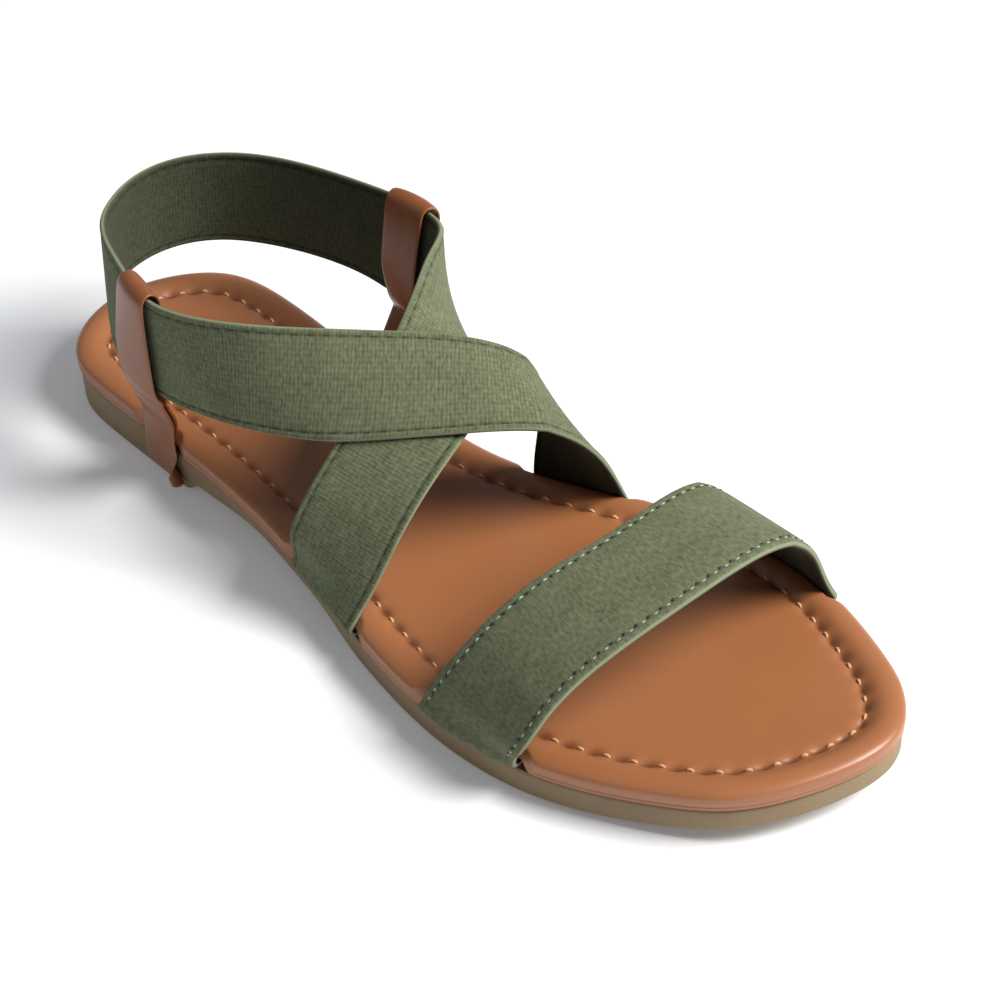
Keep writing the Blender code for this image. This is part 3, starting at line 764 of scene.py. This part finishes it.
def foot_profile(thick):
    """Outset and height over the footbed's seat along a strap's foot, from its hidden end up."""
    bend = thick / 2 + GAP + EDGE_GAP / 2
    outset = thick / 2 + EDGE_GAP - EDGE_PRESS
    rows = [(-TUCK_DEPTH * share, thick / 2) for share in (1.0, 0.7, 0.4)]
    for i in range(FOOT_BEND_STEPS + 1):
        angle = math.pi / 2 * i / FOOT_BEND_STEPS
        rows.append((outset - bend + bend * math.sin(angle), thick / 2 + bend * (1.0 - math.cos(angle))))
    for share in (0.6, 0.7, 0.8, 0.9, 1.0):
        rows.append((outset - float(foot_lean(share)), share * FOOTBED_THICK))
    return rows


def foot_rows(side, corners, thick, steps=ACROSS_STEPS):
    """Rows of places along a strap's foot, from under the footbed up its side."""
    shares = np.linspace(corners[0], corners[1], steps + 1)
    rows = []
    for outset, rise in foot_profile(thick):
        row = []
        for share in shares:
            y = HEEL_BACK + share * LENGTH
            x, shifted = edge_point(side, y, outset)
            row.append(Vector((x, shifted, float(sole_top(y)) + GAP + rise)))
        rows.append(row)
    return rows


def band_frame(spline, u, axis_height):
    """Middle of a band at u, its direction of travel, its rear or upper side and its outside."""
    here = spline.at(u)
    step = 0.01
    travel = Vector(spline.at(u + step)[:3] - spline.at(u - step)[:3]).normalized()
    middle = Vector(here[:3])
    outside = Vector((middle.x, 0.0, middle.z - axis_height)).normalized()
    turn = float(ease((HEEL_TURN[0] + HEEL_BACK - middle.y) / HEEL_TURN[1]))
    behind = HEEL_ROUNDNESS * (middle.y - HEEL_AXIS - HEEL_BACK)
    behind = Vector((middle.x, behind, 0.0)).normalized()
    outside = outside.lerp(behind, turn)
    outside = (outside - travel * outside.dot(travel)).normalized()
    side = outside.cross(travel)
    rear = side * math.cos(here[3]) + outside * math.sin(here[3])
    return middle, travel, rear, travel.cross(rear)


def band_row(spline, u, width, axis_height):
    middle, _, rear, _ = band_frame(spline, u, axis_height)
    return [middle + rear * width * (0.5 - k / ACROSS_STEPS) for k in range(ACROSS_STEPS + 1)]


def rise_to(low, leave, high, arrive, share):
    """Point on a curve that leaves low along leave and reaches high along arrive."""
    reach = (high - low).length
    a, b = share * share, share * share * share
    return (
        low * (2 * b - 3 * a + 1)
        + leave * FOOT_STIFFNESS * reach * (b - 2 * a + share)
        + high * (3 * a - 2 * b)
        + arrive * reach * (b - a)
    )


def headings(rows):
    """Directions from each point of the last row but one to the last row."""
    return [(b - a).normalized() for a, b in zip(rows[-2], rows[-1])]


def relaxed(rows, first, last, rounds):
    """Rows whose places between two rows are evened out along the strap, as taut cloth lies."""
    grid = np.array(rows, float)
    for _ in range(rounds):
        behind, here, ahead = grid[first - 1 : last - 1], grid[first:last], grid[first + 1 : last + 1]
        grid[first:last] = here + 0.25 * (behind - 2 * here + ahead)
    return [[Vector(place) for place in row] for row in grid]


def strap_grid(table, height, axis_share, width, thick, feet):
    """Middle surface of a strap from its outer foot over the foot to its inner foot, and each
    row's place along the path."""
    spline = path_spline(table, height)
    axis_height = axis_share * height
    last = len(table) - 1
    halves = []
    for side, start, step in (("outer", 0.0, 1.0), ("inner", float(last), -1.0)):
        rows = foot_rows(side, feet[side], thick)
        places = [start] * len(rows)
        free = band_row(spline, start + step, width, axis_height)
        beyond = band_row(spline, start + 1.05 * step, width, axis_height)
        ends = list(zip(rows[-1], headings(rows), free, headings([free, beyond])))
        for i in range(1, FOOT_BLEND_STEPS + 1):
            share = i / (FOOT_BLEND_STEPS + 1)
            rows.append([rise_to(*end, share) for end in ends])
            places.append(start + step * share)
        halves.append((rows, places))
    (first, first_places), (second, second_places) = halves
    count = (last - 2) * STATIONS_PER_ROW
    places = [1.0 + (last - 2) * i / count for i in range(count + 1)]
    middle = [band_row(spline, u, width, axis_height) for u in places]
    grid = first + middle + second[::-1]
    bend_end = len(foot_profile(thick)) - 5
    reach = len(first) + RELAX_REACH
    grid = relaxed(grid, bend_end, reach, RELAX_ROUNDS)
    grid = relaxed(grid, len(grid) - reach, len(grid) - bend_end, RELAX_ROUNDS)
    return grid, first_places + places + second_places[::-1]


def grid_normals(grid):
    """Outward normals of a middle surface, as an array like the grid."""
    along = np.gradient(grid, axis=0)
    across = np.gradient(grid, axis=1)
    normals = np.cross(across, along)
    return normals / np.linalg.norm(normals, axis=2)[:, :, None]


def column_at(grid, spot):
    """Line of values along a grid at a column, which may lie between two."""
    low = min(int(spot), grid.shape[1] - 2)
    share = spot - low
    return grid[:, low] * (1 - share) + grid[:, low + 1] * share


def strap_piece(name, grid, section, thick):
    """Closed strap, of one thickness or one for each row, round its middle surface.

    The chart runs along the strap in X and across it in Y, where 0 is one edge.
    """
    grid = np.array(grid, float)
    normals = grid_normals(grid)
    upper = [(-a, h) for a, h in reversed(section)] + list(section[1:])
    loop = upper + [(a, -h) for a, h in reversed(upper)][1:]
    last = grid.shape[1] - 1
    width = np.linalg.norm(grid[len(grid) // 2, -1] - grid[len(grid) // 2, 0])
    half = np.asarray(thick, float).reshape(-1, 1) / 2
    travelled = run_length(grid[:, last // 2])
    from_end = np.minimum(travelled, travelled[-1] - travelled)
    # Painted shade for the reverse of the strap, deeper near its feet
    shade = REVERSE_PAINTED_SHADE + (FOOT_PAINTED_SHADE - REVERSE_PAINTED_SHADE) * ease(1.0 - from_end / FOOT_PAINTED_SHADE_REACH)
    lines, charts, painted_reverse_shade = [], [], []
    for across, height in loop:
        middle = column_at(grid, (across + 1) / 2 * last)
        line = middle + column_at(normals, (across + 1) / 2 * last) * height * half
        chart = np.column_stack([travelled, np.full(len(grid), (across + 1) / 2 * width)])
        lines.append(np.vstack([middle[:1], line, middle[-1:]]))
        charts.append(np.vstack([chart[:1], chart, chart[-1:]]))
        shown = shade if height < 0.0 else np.zeros(len(shade))
        painted_reverse_shade.append(np.concatenate([shown[:1], shown, shown[-1:]]))
    return formed_sheet(name, np.array(lines), np.array(charts), 70.0, np.array(painted_reverse_shade))


def edge_stitches(grid, inset, height, pitch, first, width, hidden):
    """Frames for stitches along both edges of a strap, on its outside, from the distance first.

    The hidden rows at either end have none.
    """
    grid = np.array(grid, float)
    normals = grid_normals(grid)
    last = grid.shape[1] - 1
    frames = []
    for spot in (inset / width * last, (1 - inset / width) * last):
        outward = column_at(normals, spot)
        line = (column_at(grid, spot) + outward * height)[hidden:-hidden]
        outward = outward[hidden:-hidden]
        length = run_length(line)

        def point(along, values):
            return Vector([np.interp(along, length, values[:, k]) for k in range(3)])

        for along in np.arange(first, length[-1], pitch):
            heading = point(along + 0.4 * pitch, line) - point(along - 0.4 * pitch, line)
            frames.append((point(along, line), heading, point(along, outward)))
    return frames


toe_grid, _ = strap_grid(
    TOE_PATH, TOE_BAND_HEIGHT, TOE_AXIS_HEIGHT, TOE_BAND_WIDTH, TOE_BAND_THICK, TOE_FEET
)
toe_band = strap_piece("toe_band_elastic", toe_grid, TOE_SECTION, TOE_BAND_THICK)


def knitted_elastic(name, width, rib_pitch, cord_pitch, weave_share, contrast, seam_inset, seam_painted_shade):
    """Knitted elastic: dull olive yarn over rubber cords, in fine uneven ribs across the band.

    Each yarn's crown is painted lighter and the hollow beside it darker, as painted highlight and
    shade over the ribs. The selvedge is a thin pale line, and a dotted line of painted shade runs
    inside it in the groove along the seam. The reverse, which a point attribute marks, is painted
    darker as shade, most of all near the feet.
    """
    made, tree, shader = new_material(
        name, 0.95, Specular_IOR_Level=0.12, Sheen_Weight=0.12, Sheen_Roughness=0.5,
        Sheen_Tint=(*linear("#D9DCC9"), 1.0),
    )
    chart = add_node(tree, "UVMap").outputs[0]
    wobble = add_node(tree, "TexNoise", {"Vector": chart, "Scale": 1 / (4 * MM), "Detail": 3.0})
    reach = {0: wobble.outputs["Color"], 1: (0.9 * MM, 0.7 * MM, 0.0)}
    shift = add_node(tree, "VectorMath", reach, operation="MULTIPLY").outputs[0]
    wandering = add_node(tree, "VectorMath", {0: chart, 1: shift}, operation="ADD").outputs[0]
    along = {"Vector": wandering, "Scale": wave_scale(rib_pitch)}
    ribs = add_node(tree, "TexWave", along, bands_direction="X").outputs["Fac"]
    crosswise = {"Vector": wandering, "Scale": wave_scale(cord_pitch)}
    cords = add_node(tree, "TexWave", crosswise, bands_direction="Y").outputs["Fac"]
    weave = add_node(tree, "Mix", {0: 0.35, 2: ribs, 3: cords}).outputs[0]
    drawn = add_node(tree, "Mapping", {"Vector": chart, "Scale": (1.0, 0.45, 1.0)}).outputs[0]
    yarn = add_node(tree, "TexNoise", {"Vector": drawn, "Scale": 1 / (0.75 * MM), "Detail": 4.0})
    patch = add_node(tree, "TexNoise", {"Vector": chart, "Scale": 1 / (7 * MM), "Detail": 4.0})
    mixed = add_node(tree, "Mix", {0: weave_share, 2: yarn.outputs["Fac"], 3: weave})
    patched = add_node(tree, "Mix", {0: 0.2, 2: mixed.outputs[0], 3: patch.outputs["Fac"]})
    level = add_node(tree, "MapRange", {0: patched.outputs[0], 1: 0.5 - contrast, 2: 0.5 + contrast})
    # Partly the yarn's own uneven tone, partly painted highlight on its crowns and painted shade in its
    # hollows
    shade = add_node(tree, "Mix", {0: level.outputs[0], 6: "#41462F", 7: "#7C8266"}, data_type="RGBA")
    across = add_node(tree, "SeparateXYZ", {0: chart}).outputs["Y"]
    centred = add_node(tree, "Math", {0: across, 1: width / 2}, operation="SUBTRACT")
    off_middle = add_node(tree, "Math", {0: centred.outputs[0]}, operation="ABSOLUTE").outputs[0]
    rim = {0: off_middle, 1: width / 2 - 0.3 * MM, 2: width / 2 - 0.05 * MM}
    at_edge = add_node(tree, "MapRange", rim).outputs[0]
    edged = add_node(tree, "Mix", {0: at_edge, 6: shade.outputs[2], 7: "#868B70"}, data_type="RGBA")
    # Painted shade: a dark dotted line in the groove along the seam
    from_seam = add_node(tree, "Math", {0: off_middle, 1: width / 2 - seam_inset}, operation="SUBTRACT")
    near_seam = add_node(tree, "Math", {0: from_seam.outputs[0]}, operation="ABSOLUTE").outputs[0]
    spaced = {"Vector": chart, "Scale": wave_scale(SEAM_DOT_PITCH)}
    dots = add_node(tree, "TexWave", spaced, bands_direction="X").outputs["Fac"]
    depth = add_node(tree, "MapRange", {0: dots, 3: 0.45 * seam_painted_shade, 4: seam_painted_shade}).outputs[0]
    seam = add_node(tree, "MapRange", {0: near_seam, 1: 0.1 * MM, 2: 0.45 * MM, 3: depth, 4: 0.0})
    seam_groove_shaded = {0: seam.outputs[0], 6: edged.outputs[2], 7: "#1E2117"}
    seam_groove_shaded = add_node(tree, "Mix", seam_groove_shaded, data_type="RGBA").outputs[2]
    # Painted shade: the reverse is mixed towards near black
    inside = add_node(tree, "Attribute", attribute_name="painted_shade").outputs["Fac"]
    final = add_node(tree, "Mix", {0: inside, 6: seam_groove_shaded, 7: "#0D0E0A"}, data_type="RGBA")
    relief = {"Height": patched.outputs[0], "Strength": 0.5, "Distance": 0.18 * MM}
    wire(tree, shader, final.outputs[2], add_node(tree, "Bump", relief))
    return made


toe_elastic = knitted_elastic(
    "fine_knitted_olive_elastic", TOE_BAND_WIDTH, 0.6 * MM, 0.75 * MM, 0.12, 0.27, TOE_STITCH_INSET, 0.35
)
finish_piece(toe_band, toe_elastic, "elastic", "toe_band")

hidden = len(foot_profile(TOE_BAND_THICK)) - 3
height = STITCH_HEIGHT * TOE_BAND_THICK
for name, inset, shift, length, thick, light, dark in (
    # name, inset, shift in pitches, length, thickness, light and dark colour
    ("stitches", TOE_STITCH_INSET, 0.5, TOE_STITCH_LENGTH, TOE_THREAD_THICK, "#B4BB9C", "#8A9172"),
    # painted shadow in the needle holes, as near-black dashes
    ("needle_hole_painted_shadow", HOLE_INSET, 1.0, HOLE_LENGTH, HOLE_WIDTH, "#14160F", "#1D2016"),
):
    first = shift * TOE_STITCH_PITCH
    frames = edge_stitches(toe_grid, inset, height, TOE_STITCH_PITCH, first, TOE_BAND_WIDTH, hidden)
    stitches = sewn_row(f"toe_band_{name}", frames, length, thick)
    thread = twisted_thread(f"toe_band_{name}_thread", light, dark, 0.4 * MM)
    finish_piece(stitches, thread, "elastic")


# Crossed band
# One piece of 25 mm knitted elastic. It leaves the outer edge of the sole, crosses the instep, runs
# through the inner loop, round the heel and through the outer loop, and crosses itself to the
# inner edge. Where it crosses, its upper pass is lifted to lie on the lower pass.
BAND_WIDTH = 25.0 * MM
INSTEP_HEIGHT = 50.0 * MM
FOOT_AXIS_HEIGHT = 0.6
LOWER_PASS = (1.2, 4.8)
UPPER_PASS = (11.6, 15.2)
DRAPE_ROUNDS = 160
DRAPE_HOLD = 0.99
PASS_GAP = 0.6 * GAP

# Middle line of the crossed band, from the outer edge of the sole
CROSS_PATH = (
    # share of the ball width, of the length, of the instep height, and lean in degrees
    (0.450, 0.490, 0.16, 0),
    (0.412, 0.506, 0.40, 10),
    (0.237, 0.510, 0.75, 16),
    (-0.030, 0.485, 0.95, 20),
    (-0.246, 0.417, 0.97, 28),
    (-0.392, 0.337, 0.87, 38),
    (-0.420, 0.210, 0.81, 22),
    (-0.303, 0.086, 0.80, 5),
    (-0.083, 0.042, 0.82, 0),
    (0.147, 0.076, 0.86, -3),
    (0.292, 0.152, 0.90, 7),
    (0.362, 0.242, 0.90, 20),
    (0.322, 0.356, 0.98, 23),
    (0.119, 0.460, 0.99, 26),
    (-0.113, 0.534, 0.95, 33),
    (-0.288, 0.564, 0.69, 18),
    (-0.356, 0.560, 0.20, 0),
)

# Half section of the band: a dip inside the edge and a round woven edge
BAND_SECTION = (
    # share of the half width, share of the half thickness
    (0.0, 0.94),
    (0.2, 0.95),
    (0.4, 0.95),
    (0.6, 0.95),
    (0.76, 0.93),
    (0.82, 0.86),
    (0.855, 0.72),
    (0.875, 0.66),
    (0.895, 0.74),
    (0.925, 0.94),
    (0.955, 0.98),
    (0.98, 0.78),
    (0.995, 0.42),
    (1.0, 0.0),
)


def drape_upper_pass(grid, places, thick):
    """Lifts the upper pass of the crossed band until it lies on the lower pass."""
    under = [row for row, u in zip(grid, places) if LOWER_PASS[0] <= u <= LOWER_PASS[1]]
    columns = len(grid[0])
    faces = [
        (i * columns + k, i * columns + k + 1, (i + 1) * columns + k + 1, (i + 1) * columns + k)
        for i in range(len(under) - 1)
        for k in range(columns - 1)
    ]
    tree = BVHTree.FromPolygons([place for row in under for place in row], faces)
    normals = grid_normals(np.array(grid, float))
    over = [i for i, u in enumerate(places) if UPPER_PASS[0] <= u <= UPPER_PASS[1]]
    needed = np.zeros((len(over), columns))
    outward = [[Vector(normals[i, k]) for k in range(columns)] for i in over]
    outward = [[-normal if normal.z < 0.0 else normal for normal in row] for row in outward]
    for row, i in enumerate(over):
        for k in range(columns):
            start = grid[i][k] + outward[row][k] * BAND_WIDTH
            hit = tree.ray_cast(start, -outward[row][k], 2 * BAND_WIDTH)
            if hit[0] is not None:
                needed[row, k] = max(0.0, BAND_WIDTH - hit[3] + thick + PASS_GAP)
    lift = needed.copy()
    for _ in range(DRAPE_ROUNDS):
        spread = lift.copy()
        spread[2:-2] = 0.25 * lift[:-4] + 0.5 * lift[2:-2] + 0.25 * lift[4:]
        spread[:, 1:-1] = 0.5 * spread[:, 1:-1] + 0.25 * (spread[:, :-2] + spread[:, 2:])
        lift = np.maximum(needed, DRAPE_HOLD * spread)
    for row, i in enumerate(over):
        grid[i] = [place + outward[row][k] * lift[row, k] for k, place in enumerate(grid[i])]


cross_grid, cross_places = strap_grid(
    CROSS_PATH, INSTEP_HEIGHT, FOOT_AXIS_HEIGHT, BAND_WIDTH, BAND_THICK, CROSS_FEET
)
drape_upper_pass(cross_grid, cross_places, BAND_THICK)
cross_band = strap_piece("cross_band_elastic", cross_grid, BAND_SECTION, BAND_THICK)
cross_elastic = knitted_elastic(
    "ribbed_knitted_olive_elastic", BAND_WIDTH, 0.9 * MM, 1.3 * MM, 0.22, 0.25, 1.6 * MM, 0.75
)
finish_piece(cross_band, cross_elastic, "elastic", "cross_band")


# Heel loops
# Each loop is one strip of tan leather, folded over the top edge of the heel band. Its two layers
# are pinched together under the band and run down as a double tab into the seam of the sole. The
# outer loop's outer layer hangs over the side of the sole instead, and its free corner has curled.
LOOP_WIDTH = 15.5 * MM
LEATHER_THICK = 1.3 * MM
TAB_LAYER_THICK = 0.75 * MM
LAYER_GAP = 0.02 * MM
TAB_NECK_WIDTH = 11.5 * MM
TAB_NECK_SHIFT = 1.8 * MM
TAPER_START = 3.0 * MM
TAPER_REACH = 12.0 * MM
LOOP_PLACES = {"inner": 5.40, "outer": 10.8}
LOOP_COLUMNS = 36
LOOP_STEPS_PER_ROW = 6
TAB_ROWS = 22
FLAP_BOTTOM = 2.8 * MM
FLAP_FLARE = 6.5 * MM
FLAP_TOP_SHARE = 0.45
FLAP_OUTSETS = (0.15 * MM, 0.5 * MM)
FLAP_ROWS = 16
CURL_START = 0.75
CURL_RADIUS = 1.3 * MM
CURL_TOP = 10.5 * MM

# Outer half of the strip round the band, from the pinch to the band's top edge
LOOP_HALF = (
    # out from the band and up from its middle line, in mm
    (0.68, -15.4),
    (0.80, -14.3),
    (1.65, -12.9),
    (2.35, -10.6),
    (2.60, -6.0),
    (2.65, 0.0),
    (2.60, 6.5),
    (2.45, 10.8),
    (1.75, 12.9),
)
LOOP_TOP = 13.85 * MM
LOOP_OUTSIDE = [(out * MM, up * MM) for out, up in LOOP_HALF]
LOOP_INSIDE = [(-out, up) for out, up in reversed(LOOP_OUTSIDE)]
LOOP_SECTION = LOOP_OUTSIDE + [(0.0, LOOP_TOP)] + LOOP_INSIDE

# Half section of the strip: plump in the middle, where it catches the light, and thin at its edge
STRIP_SECTION = (
    # share of the half width, share of the half thickness
    (0.0, 1.2),
    (0.15, 1.19),
    (0.3, 1.15),
    (0.42, 1.1),
    (0.51, 1.04),
    (0.58, 0.99),
    (0.65, 0.93),
    (0.71, 0.88),
    (0.77, 0.82),
    (0.82, 0.76),
    (0.87, 0.69),
    (0.91, 0.62),
    (0.95, 0.5),
    (0.98, 0.34),
    (1.0, 0.0),
)


def hanging_rows(corners):
    """Rows of places down the side of the sole, from the free edge of the outer layer up."""
    rows = []
    for i in range(FLAP_ROWS):
        rise = i / FLAP_ROWS
        outset = FLAP_OUTSETS[0] + (FLAP_OUTSETS[1] - FLAP_OUTSETS[0]) * rise
        front = corners[1] + FLAP_FLARE * (1.0 - rise) ** 2 / LENGTH
        row = []
        for share in np.linspace(corners[0], front, LOOP_COLUMNS + 1):
            x, y = edge_point("outer", HEEL_BACK + share * LENGTH, outset)
            top = float(sole_top(y)) + GAP + FLAP_TOP_SHARE * FOOTBED_THICK
            row.append((x, y, FLAP_BOTTOM + (top - FLAP_BOTTOM) * rise))
        rows.append(row)
    return np.array(rows)


def curl_corner(rows):
    """Rolls the front edge of hanging leather outwards, more so the lower it hangs."""
    first = round(CURL_START * LOOP_COLUMNS)
    for row in rows:
        bend = float(ease((CURL_TOP - row[first, 2]) / (CURL_TOP - FLAP_BOTTOM))) / CURL_RADIUS
        if bend == 0.0:
            continue
        ahead = row[first + 1] - row[first - 1]
        ahead[2] = 0.0
        ahead /= np.linalg.norm(ahead)
        outward = np.array([ahead[1], -ahead[0], 0.0])
        for k in range(first + 1, LOOP_COLUMNS + 1):
            angle = bend * np.linalg.norm(row[k, :2] - row[first, :2])
            reach = ahead * math.sin(angle) / bend + outward * (1.0 - math.cos(angle)) / bend
            row[k, :2] = row[first, :2] + reach[:2]


def loop_strip(side):
    """Middle surface of a loop's strip from the outer layer's end round to the inner layer's end,
    and its thickness at each row."""
    spline = path_spline(CROSS_PATH, INSTEP_HEIGHT)
    axis_height = FOOT_AXIS_HEIGHT * INSTEP_HEIGHT
    place = LOOP_PLACES[side]
    speed = float(np.linalg.norm(spline.at(place + 0.1)[:3] - spline.at(place - 0.1)[:3])) / 0.2
    forward = 1.0 if band_frame(spline, place, axis_height)[1].y > 0.0 else -1.0

    def strip_row(out, up):
        narrowed = float(ease((-up - TAPER_START) / TAPER_REACH))
        width = LOOP_WIDTH + (TAB_NECK_WIDTH - LOOP_WIDTH) * narrowed
        row = []
        for k in range(LOOP_COLUMNS + 1):
            along = width * (k / LOOP_COLUMNS - 0.5) + TAB_NECK_SHIFT * narrowed
            middle, _, rear, outward = band_frame(spline, place + forward * along / speed, axis_height)
            row.append(middle + outward * out + rear * up)
        return row

    section = Spline(LOOP_SECTION)
    turns = (len(LOOP_SECTION) - 1) * LOOP_STEPS_PER_ROW
    round_band = [strip_row(*section.at(i / LOOP_STEPS_PER_ROW)) for i in range(turns + 1)]
    necks = strip_row(0.0, LOOP_SECTION[0][1])
    uprights = headings([strip_row(0.0, LOOP_SECTION[0][1] - MM), necks])
    tab = foot_rows(side, tab_corners(side), TAB_FOOT_THICK, LOOP_COLUMNS)
    hidden = len(tab) - 5
    layer = [TAB_LAYER_THICK] * len(tab)
    ends = list(zip(tab[-1], headings(tab), necks, uprights))
    for i in range(1, TAB_ROWS + 1):
        share = i / (TAB_ROWS + 1)
        tab.append([rise_to(*end, share) for end in ends])
        layer.append(TAB_LAYER_THICK + (LEATHER_THICK - TAB_LAYER_THICK) * float(ease(2 * share)))
    tab = np.array(relaxed(tab + [necks], hidden, len(tab), RELAX_ROUNDS), float)[:-1]
    normals = grid_normals(np.vstack([tab, np.array([necks], float)]))[:-1]
    facing = np.array(round_band[0][LOOP_COLUMNS // 2] - necks[LOOP_COLUMNS // 2])
    if float(normals[-1, LOOP_COLUMNS // 2] @ facing) < 0.0:
        normals = -normals
    apart = (np.array(layer) / 2 + LAYER_GAP).reshape(-1, 1, 1)
    outer_layer = tab + normals * apart
    inner_layer = tab - normals * apart
    outer_thicks = layer
    if side == "outer":
        flap = hanging_rows(tab_corners(side))
        outer_layer = np.vstack([flap, outer_layer[hidden:]])
        reach = FLAP_ROWS + TAB_ROWS // 2
        outer_layer = np.array(relaxed(outer_layer, FLAP_ROWS // 2, reach, RELAX_ROUNDS))
        outer_thicks = [TAB_LAYER_THICK] * FLAP_ROWS + layer[hidden:]
        curl_corner(outer_layer[: FLAP_ROWS + 2])
    strip = np.vstack([outer_layer, np.array(round_band, float), inner_layer[::-1]])
    return strip, outer_thicks + [LEATHER_THICK] * len(round_band) + layer[::-1]


def satin_leather(name, dark, light):
    """Finished leather: a thin glossy film over a fine pebbled grain."""
    made, tree, shader = new_material(
        name, 0.36, Specular_IOR_Level=0.4, Coat_Weight=0.12, Coat_Roughness=0.22
    )
    where = add_node(tree, "TexCoord").outputs["Object"]
    cloud = add_node(tree, "TexNoise", {"Vector": where, "Scale": 1 / (7 * MM), "Detail": 4.0})
    pebble = add_node(tree, "TexVoronoi", {"Vector": where, "Scale": 1 / (0.7 * MM)})
    colour = add_node(tree, "Mix", {0: cloud.outputs["Fac"], 6: dark, 7: light}, data_type="RGBA")
    shine = add_node(tree, "MapRange", {0: cloud.outputs["Fac"], 3: 0.24, 4: 0.42})
    tree.links.new(shine.outputs[0], shader.inputs["Roughness"])
    relief = {"Height": pebble.outputs["Distance"], "Strength": 0.3, "Distance": 0.1 * MM}
    wire(tree, shader, colour.outputs[2], add_node(tree, "Bump", relief))
    return made


loop_leather = satin_leather("satin_brown_leather", "#7A482A", "#9C5C35")
for side in ("outer", "inner"):
    strip, thicks = loop_strip(side)
    piece = strap_piece(f"heel_loop_{side}_leather", strip, STRIP_SECTION, thicks)
    finish_piece(piece, loop_leather, "loop_leather", f"heel_loop_{side}")
